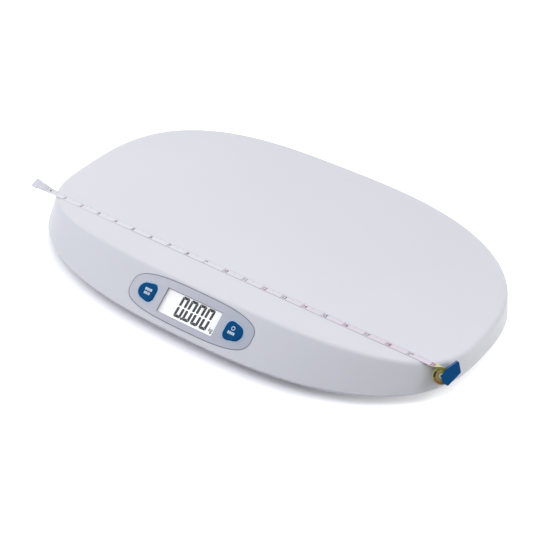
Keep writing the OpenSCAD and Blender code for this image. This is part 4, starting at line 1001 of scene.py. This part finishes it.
def tape_finish():
    """Coated glass-fibre tape: white with a pink cast, a woven grain, a printed line along its back edge and
    a dark line of painted shadow along its front edge.
    """
    f = Finish("tape_coating", Roughness=0.42)
    spot = f.place()
    weave = f.node("ShaderNodeTexWave", {"bands_direction": "X"}, spot, Scale=1100.0, Distortion=1.5, out=1)
    along, side = f.place("X"), f.place("Y") - TAPE_Y * MM
    # Painted shadow: a dark line along the tape's front edge, strongest towards the right.
    front = f.ramp(side, -0.0040, -0.0034, 0.9, 0.0) * (along < 0.245) * f.ramp(along, -0.21, -0.10, 0.2, 1.0)
    back = f.ramp(side, 0.0035, 0.0039, 0.0, 0.5) * (along < 0.245)
    pink = f.ramp(along, -0.1, 0.25, 0.0, 1.0)
    tone = f.mix(pink, (0.76, 0.755, 0.79), (0.73, 0.67, 0.745))
    tone = f.mix(front, tone, (0.22, 0.16, 0.20))
    tone = f.mix(back, tone, (0.60, 0.48, 0.55))
    leader = f.ramp(along, 0.2485, 0.2545, 0.0, 1.0)
    f.set("Base Color", f.mix(leader, tone, (0.66, 0.60, 0.28)))
    f.set("Roughness", f.ramp(weave, 0.2, 0.8, 0.36, 0.5))
    f.bump(weave + f.noise(600.0, 2.0), 0.00003, 0.3)
    return f.material


blade = placed(bm, "tape_strip", tape_finish(), "scale_body", "tape_blade", sharp=50.0)

print_ink = printed("tape_ink", (0.10, 0.07, 0.10))
red_ink = printed("tape_red_ink", (0.24, 0.06, 0.12))
steps = [0.0]
for (a, _), (b, _) in zip(spots, spots[1:]):
    steps.append(steps[-1] + (b - a).length)


def on_tape(x, y, lift=0.012):
    """A place printed on the tape, x being its place along the body if the tape lay flat."""
    rest = x - TAPE_START
    k = min(max(sum(1 for s in steps if s <= rest) - 1, 0), len(steps) - 2)
    share = (rest - steps[k]) / (steps[k + 1] - steps[k])
    ahead = (spots[k + 1][0] - spots[k][0]).normalized()
    wide = spots[k][1].lerp(spots[k + 1][1], share)
    wide = (wide - wide.dot(ahead) * ahead).normalized()
    middle = spots[k][0].lerp(spots[k + 1][0], share)
    return (middle + y * wide + (TAPE_T / 2 + lift) * ahead.cross(wide)) * MM


for ink, name, first in ((print_ink, "tape_numbers_black", 1), (red_ink, "tape_numbers_red", 2)):
    bm = bmesh.new()
    part = bpy.data.meshes.new("part")
    for n in range(first, INCHES + 1, 2):
        figure = lettered(str(n), 6.6, 0.0, 0.2)
        bmesh.ops.scale(figure, vec=(0.8, 1, 1), verts=figure.verts)
        past_mark = 2.1 if n < 10 else 3.2
        bmesh.ops.translate(figure, vec=(INCH_ZERO + INCH * n + past_mark, -0.6, 0), verts=figure.verts)
        figure.to_mesh(part)
        figure.free()
        bm.from_mesh(part)
    for v in bm.verts:
        v.co = on_tape(v.co.x, v.co.y)
    placed(bm, name, ink, "scale_body")
bm = bmesh.new()
for n in range(8 * INCHES):
    part_of = n % 8
    long = {0: 8.0, 4: 3.0, 2: 2.0, 6: 2.0}.get(part_of, 1.2)
    x = INCH_ZERO + INCH * n / 8
    wide = 0.4 if part_of == 0 else 0.22
    low = -TAPE_W / 2 if part_of == 0 else TAPE_W / 2 - long
    bm.faces.new([bm.verts.new((u, v, 0)) for u, v in bar(x, low + long / 2, wide, long)])
whole = [e for e in bm.edges if abs(e.verts[0].co.y - e.verts[1].co.y) > TAPE_W / 2]
bmesh.ops.subdivide_edges(bm, edges=whole, cuts=3, use_grid_fill=True)
for v in bm.verts:
    v.co = on_tape(v.co.x, v.co.y)
placed(bm, "tape_ticks", print_ink, "scale_body")

# The end tab is a moulded rounded head whose sleeve grips the tape's tip.
tab_plastic = moulded("tab_plastic", (0.74, 0.73, 0.79), 0.4)
tab = dressed("tape_end_tab", "tape_tab", tab_plastic, 0.0002)
bm = merged(raised(ring((INCH_ZERO + 4.9, 0.0), 0.05, 1.25, 24), 0.0, 0.05))
for v in bm.verts:
    v.co = on_tape(v.co.x, v.co.y, 0.012 + v.co.z)
zero_mark = placed(bm, "tape_zero_mark", print_ink, "scale_body")

# The rest of the tape is wound on the spool with its yellow-green side out.
TURNS, SPOOL_R, PER_TURN = 26, 3.02, 40
at_spool = Matrix.Translation(in_case(SPOOL_AT, 0, CASE_OFF + CASE_DEPTH / 2)) @ Matrix(
    (case_u, case_v, case_n)).transposed().to_4x4()
count = TURNS * PER_TURN
bm = bmesh.new()
bmesh.ops.create_grid(bm, x_segments=count, y_segments=2, size=1.0)
for v in bm.verts:
    s = (v.co.x + 1) / 2
    r = SPOOL_R + (ROLL_R - SPOOL_R) * s
    a = math.tau * TURNS * s + math.pi / 2
    v.co = Vector((r * math.cos(a), r * math.sin(a), v.co.y * TAPE_W / 2))
bmesh.ops.recalc_face_normals(bm, faces=bm.faces)
bmesh.ops.solidify(bm, geom=bm.faces[:], thickness=0.12)
bmesh.ops.transform(bm, matrix=Matrix.Scale(MM, 4) @ at_spool, verts=bm.verts)


def wound_finish():
    """The tape's other side: yellow-green coating; on the left of the roll's face a cream band of painted
    highlight, an orange band and a dark mark.
    """
    f = Finish("tape_back_coating", Roughness=0.42)
    middle = in_case(SPOOL_AT, 0, 0) * MM
    a, b = f.along(case_u, middle), f.along(case_v, middle)
    far = (a ** 2.0 + b ** 2.0) ** 0.5
    speck = f.noise(300.0, 3.0) * 0.0012
    shade = far + speck
    left = f.ramp(a, -0.0010, 0.0010, 1.0, 0.0)
    tone = f.mottled(420.0, 3.0, 0.4, 0.7, (0.36, 0.33, 0.05), (0.22, 0.20, 0.03))
    # The cream band on the left of the roll is a painted highlight.
    painted_highlight = f.ramp(shade, 0.0046, 0.0050, 0.0, 1.0) * f.ramp(shade, 0.0060, 0.0064, 1.0, 0.0) * left
    tone = f.mix(painted_highlight, tone, (0.66, 0.50, 0.27))
    band = f.ramp(shade, 0.0064, 0.0068, 0.0, 1.0) * left
    tone = f.mix(band * f.ramp(b, -0.0022, -0.0012, 1.0, 0.0), tone, (0.50, 0.21, 0.03))
    dark = band * f.ramp(abs(b - 0.0018), 0.0024, 0.0030, 1.0, 0.0)
    tone = f.mix(dark, tone, (0.025, 0.017, 0.012))
    tone = f.mix(f.ramp(shade, 0.0085, 0.0088, 0.0, 1.0), tone, (0.50, 0.45, 0.12))
    f.set("Base Color", tone)
    f.uneven(600.0, 2.0, 0.3, 0.7, 0.36, 0.52)
    f.bump(f.noise(1800.0, 2.0), 0.00003, 0.3)
    return f.material


placed(bm, "wound_tape", wound_finish(), "tape_spool", "tape_roll", sharp=60.0)
spool_plastic = moulded("spool_plastic", (0.62, 0.62, 0.36), 0.4)
dressed("tape_spool", "spool_hub", spool_plastic, 0.00008, "tape_spool")

# The case is two blue mouldings that meet in the middle round the roll.
case_plastic = moulded("case_plastic", (0.002, 0.078, 0.238), 0.38, Specular_IOR_Level=0.14)
dressed("tape_case_front", "case_front", case_plastic, 0.0003)
dressed("tape_case_back", "case_back", case_plastic, 0.0003)
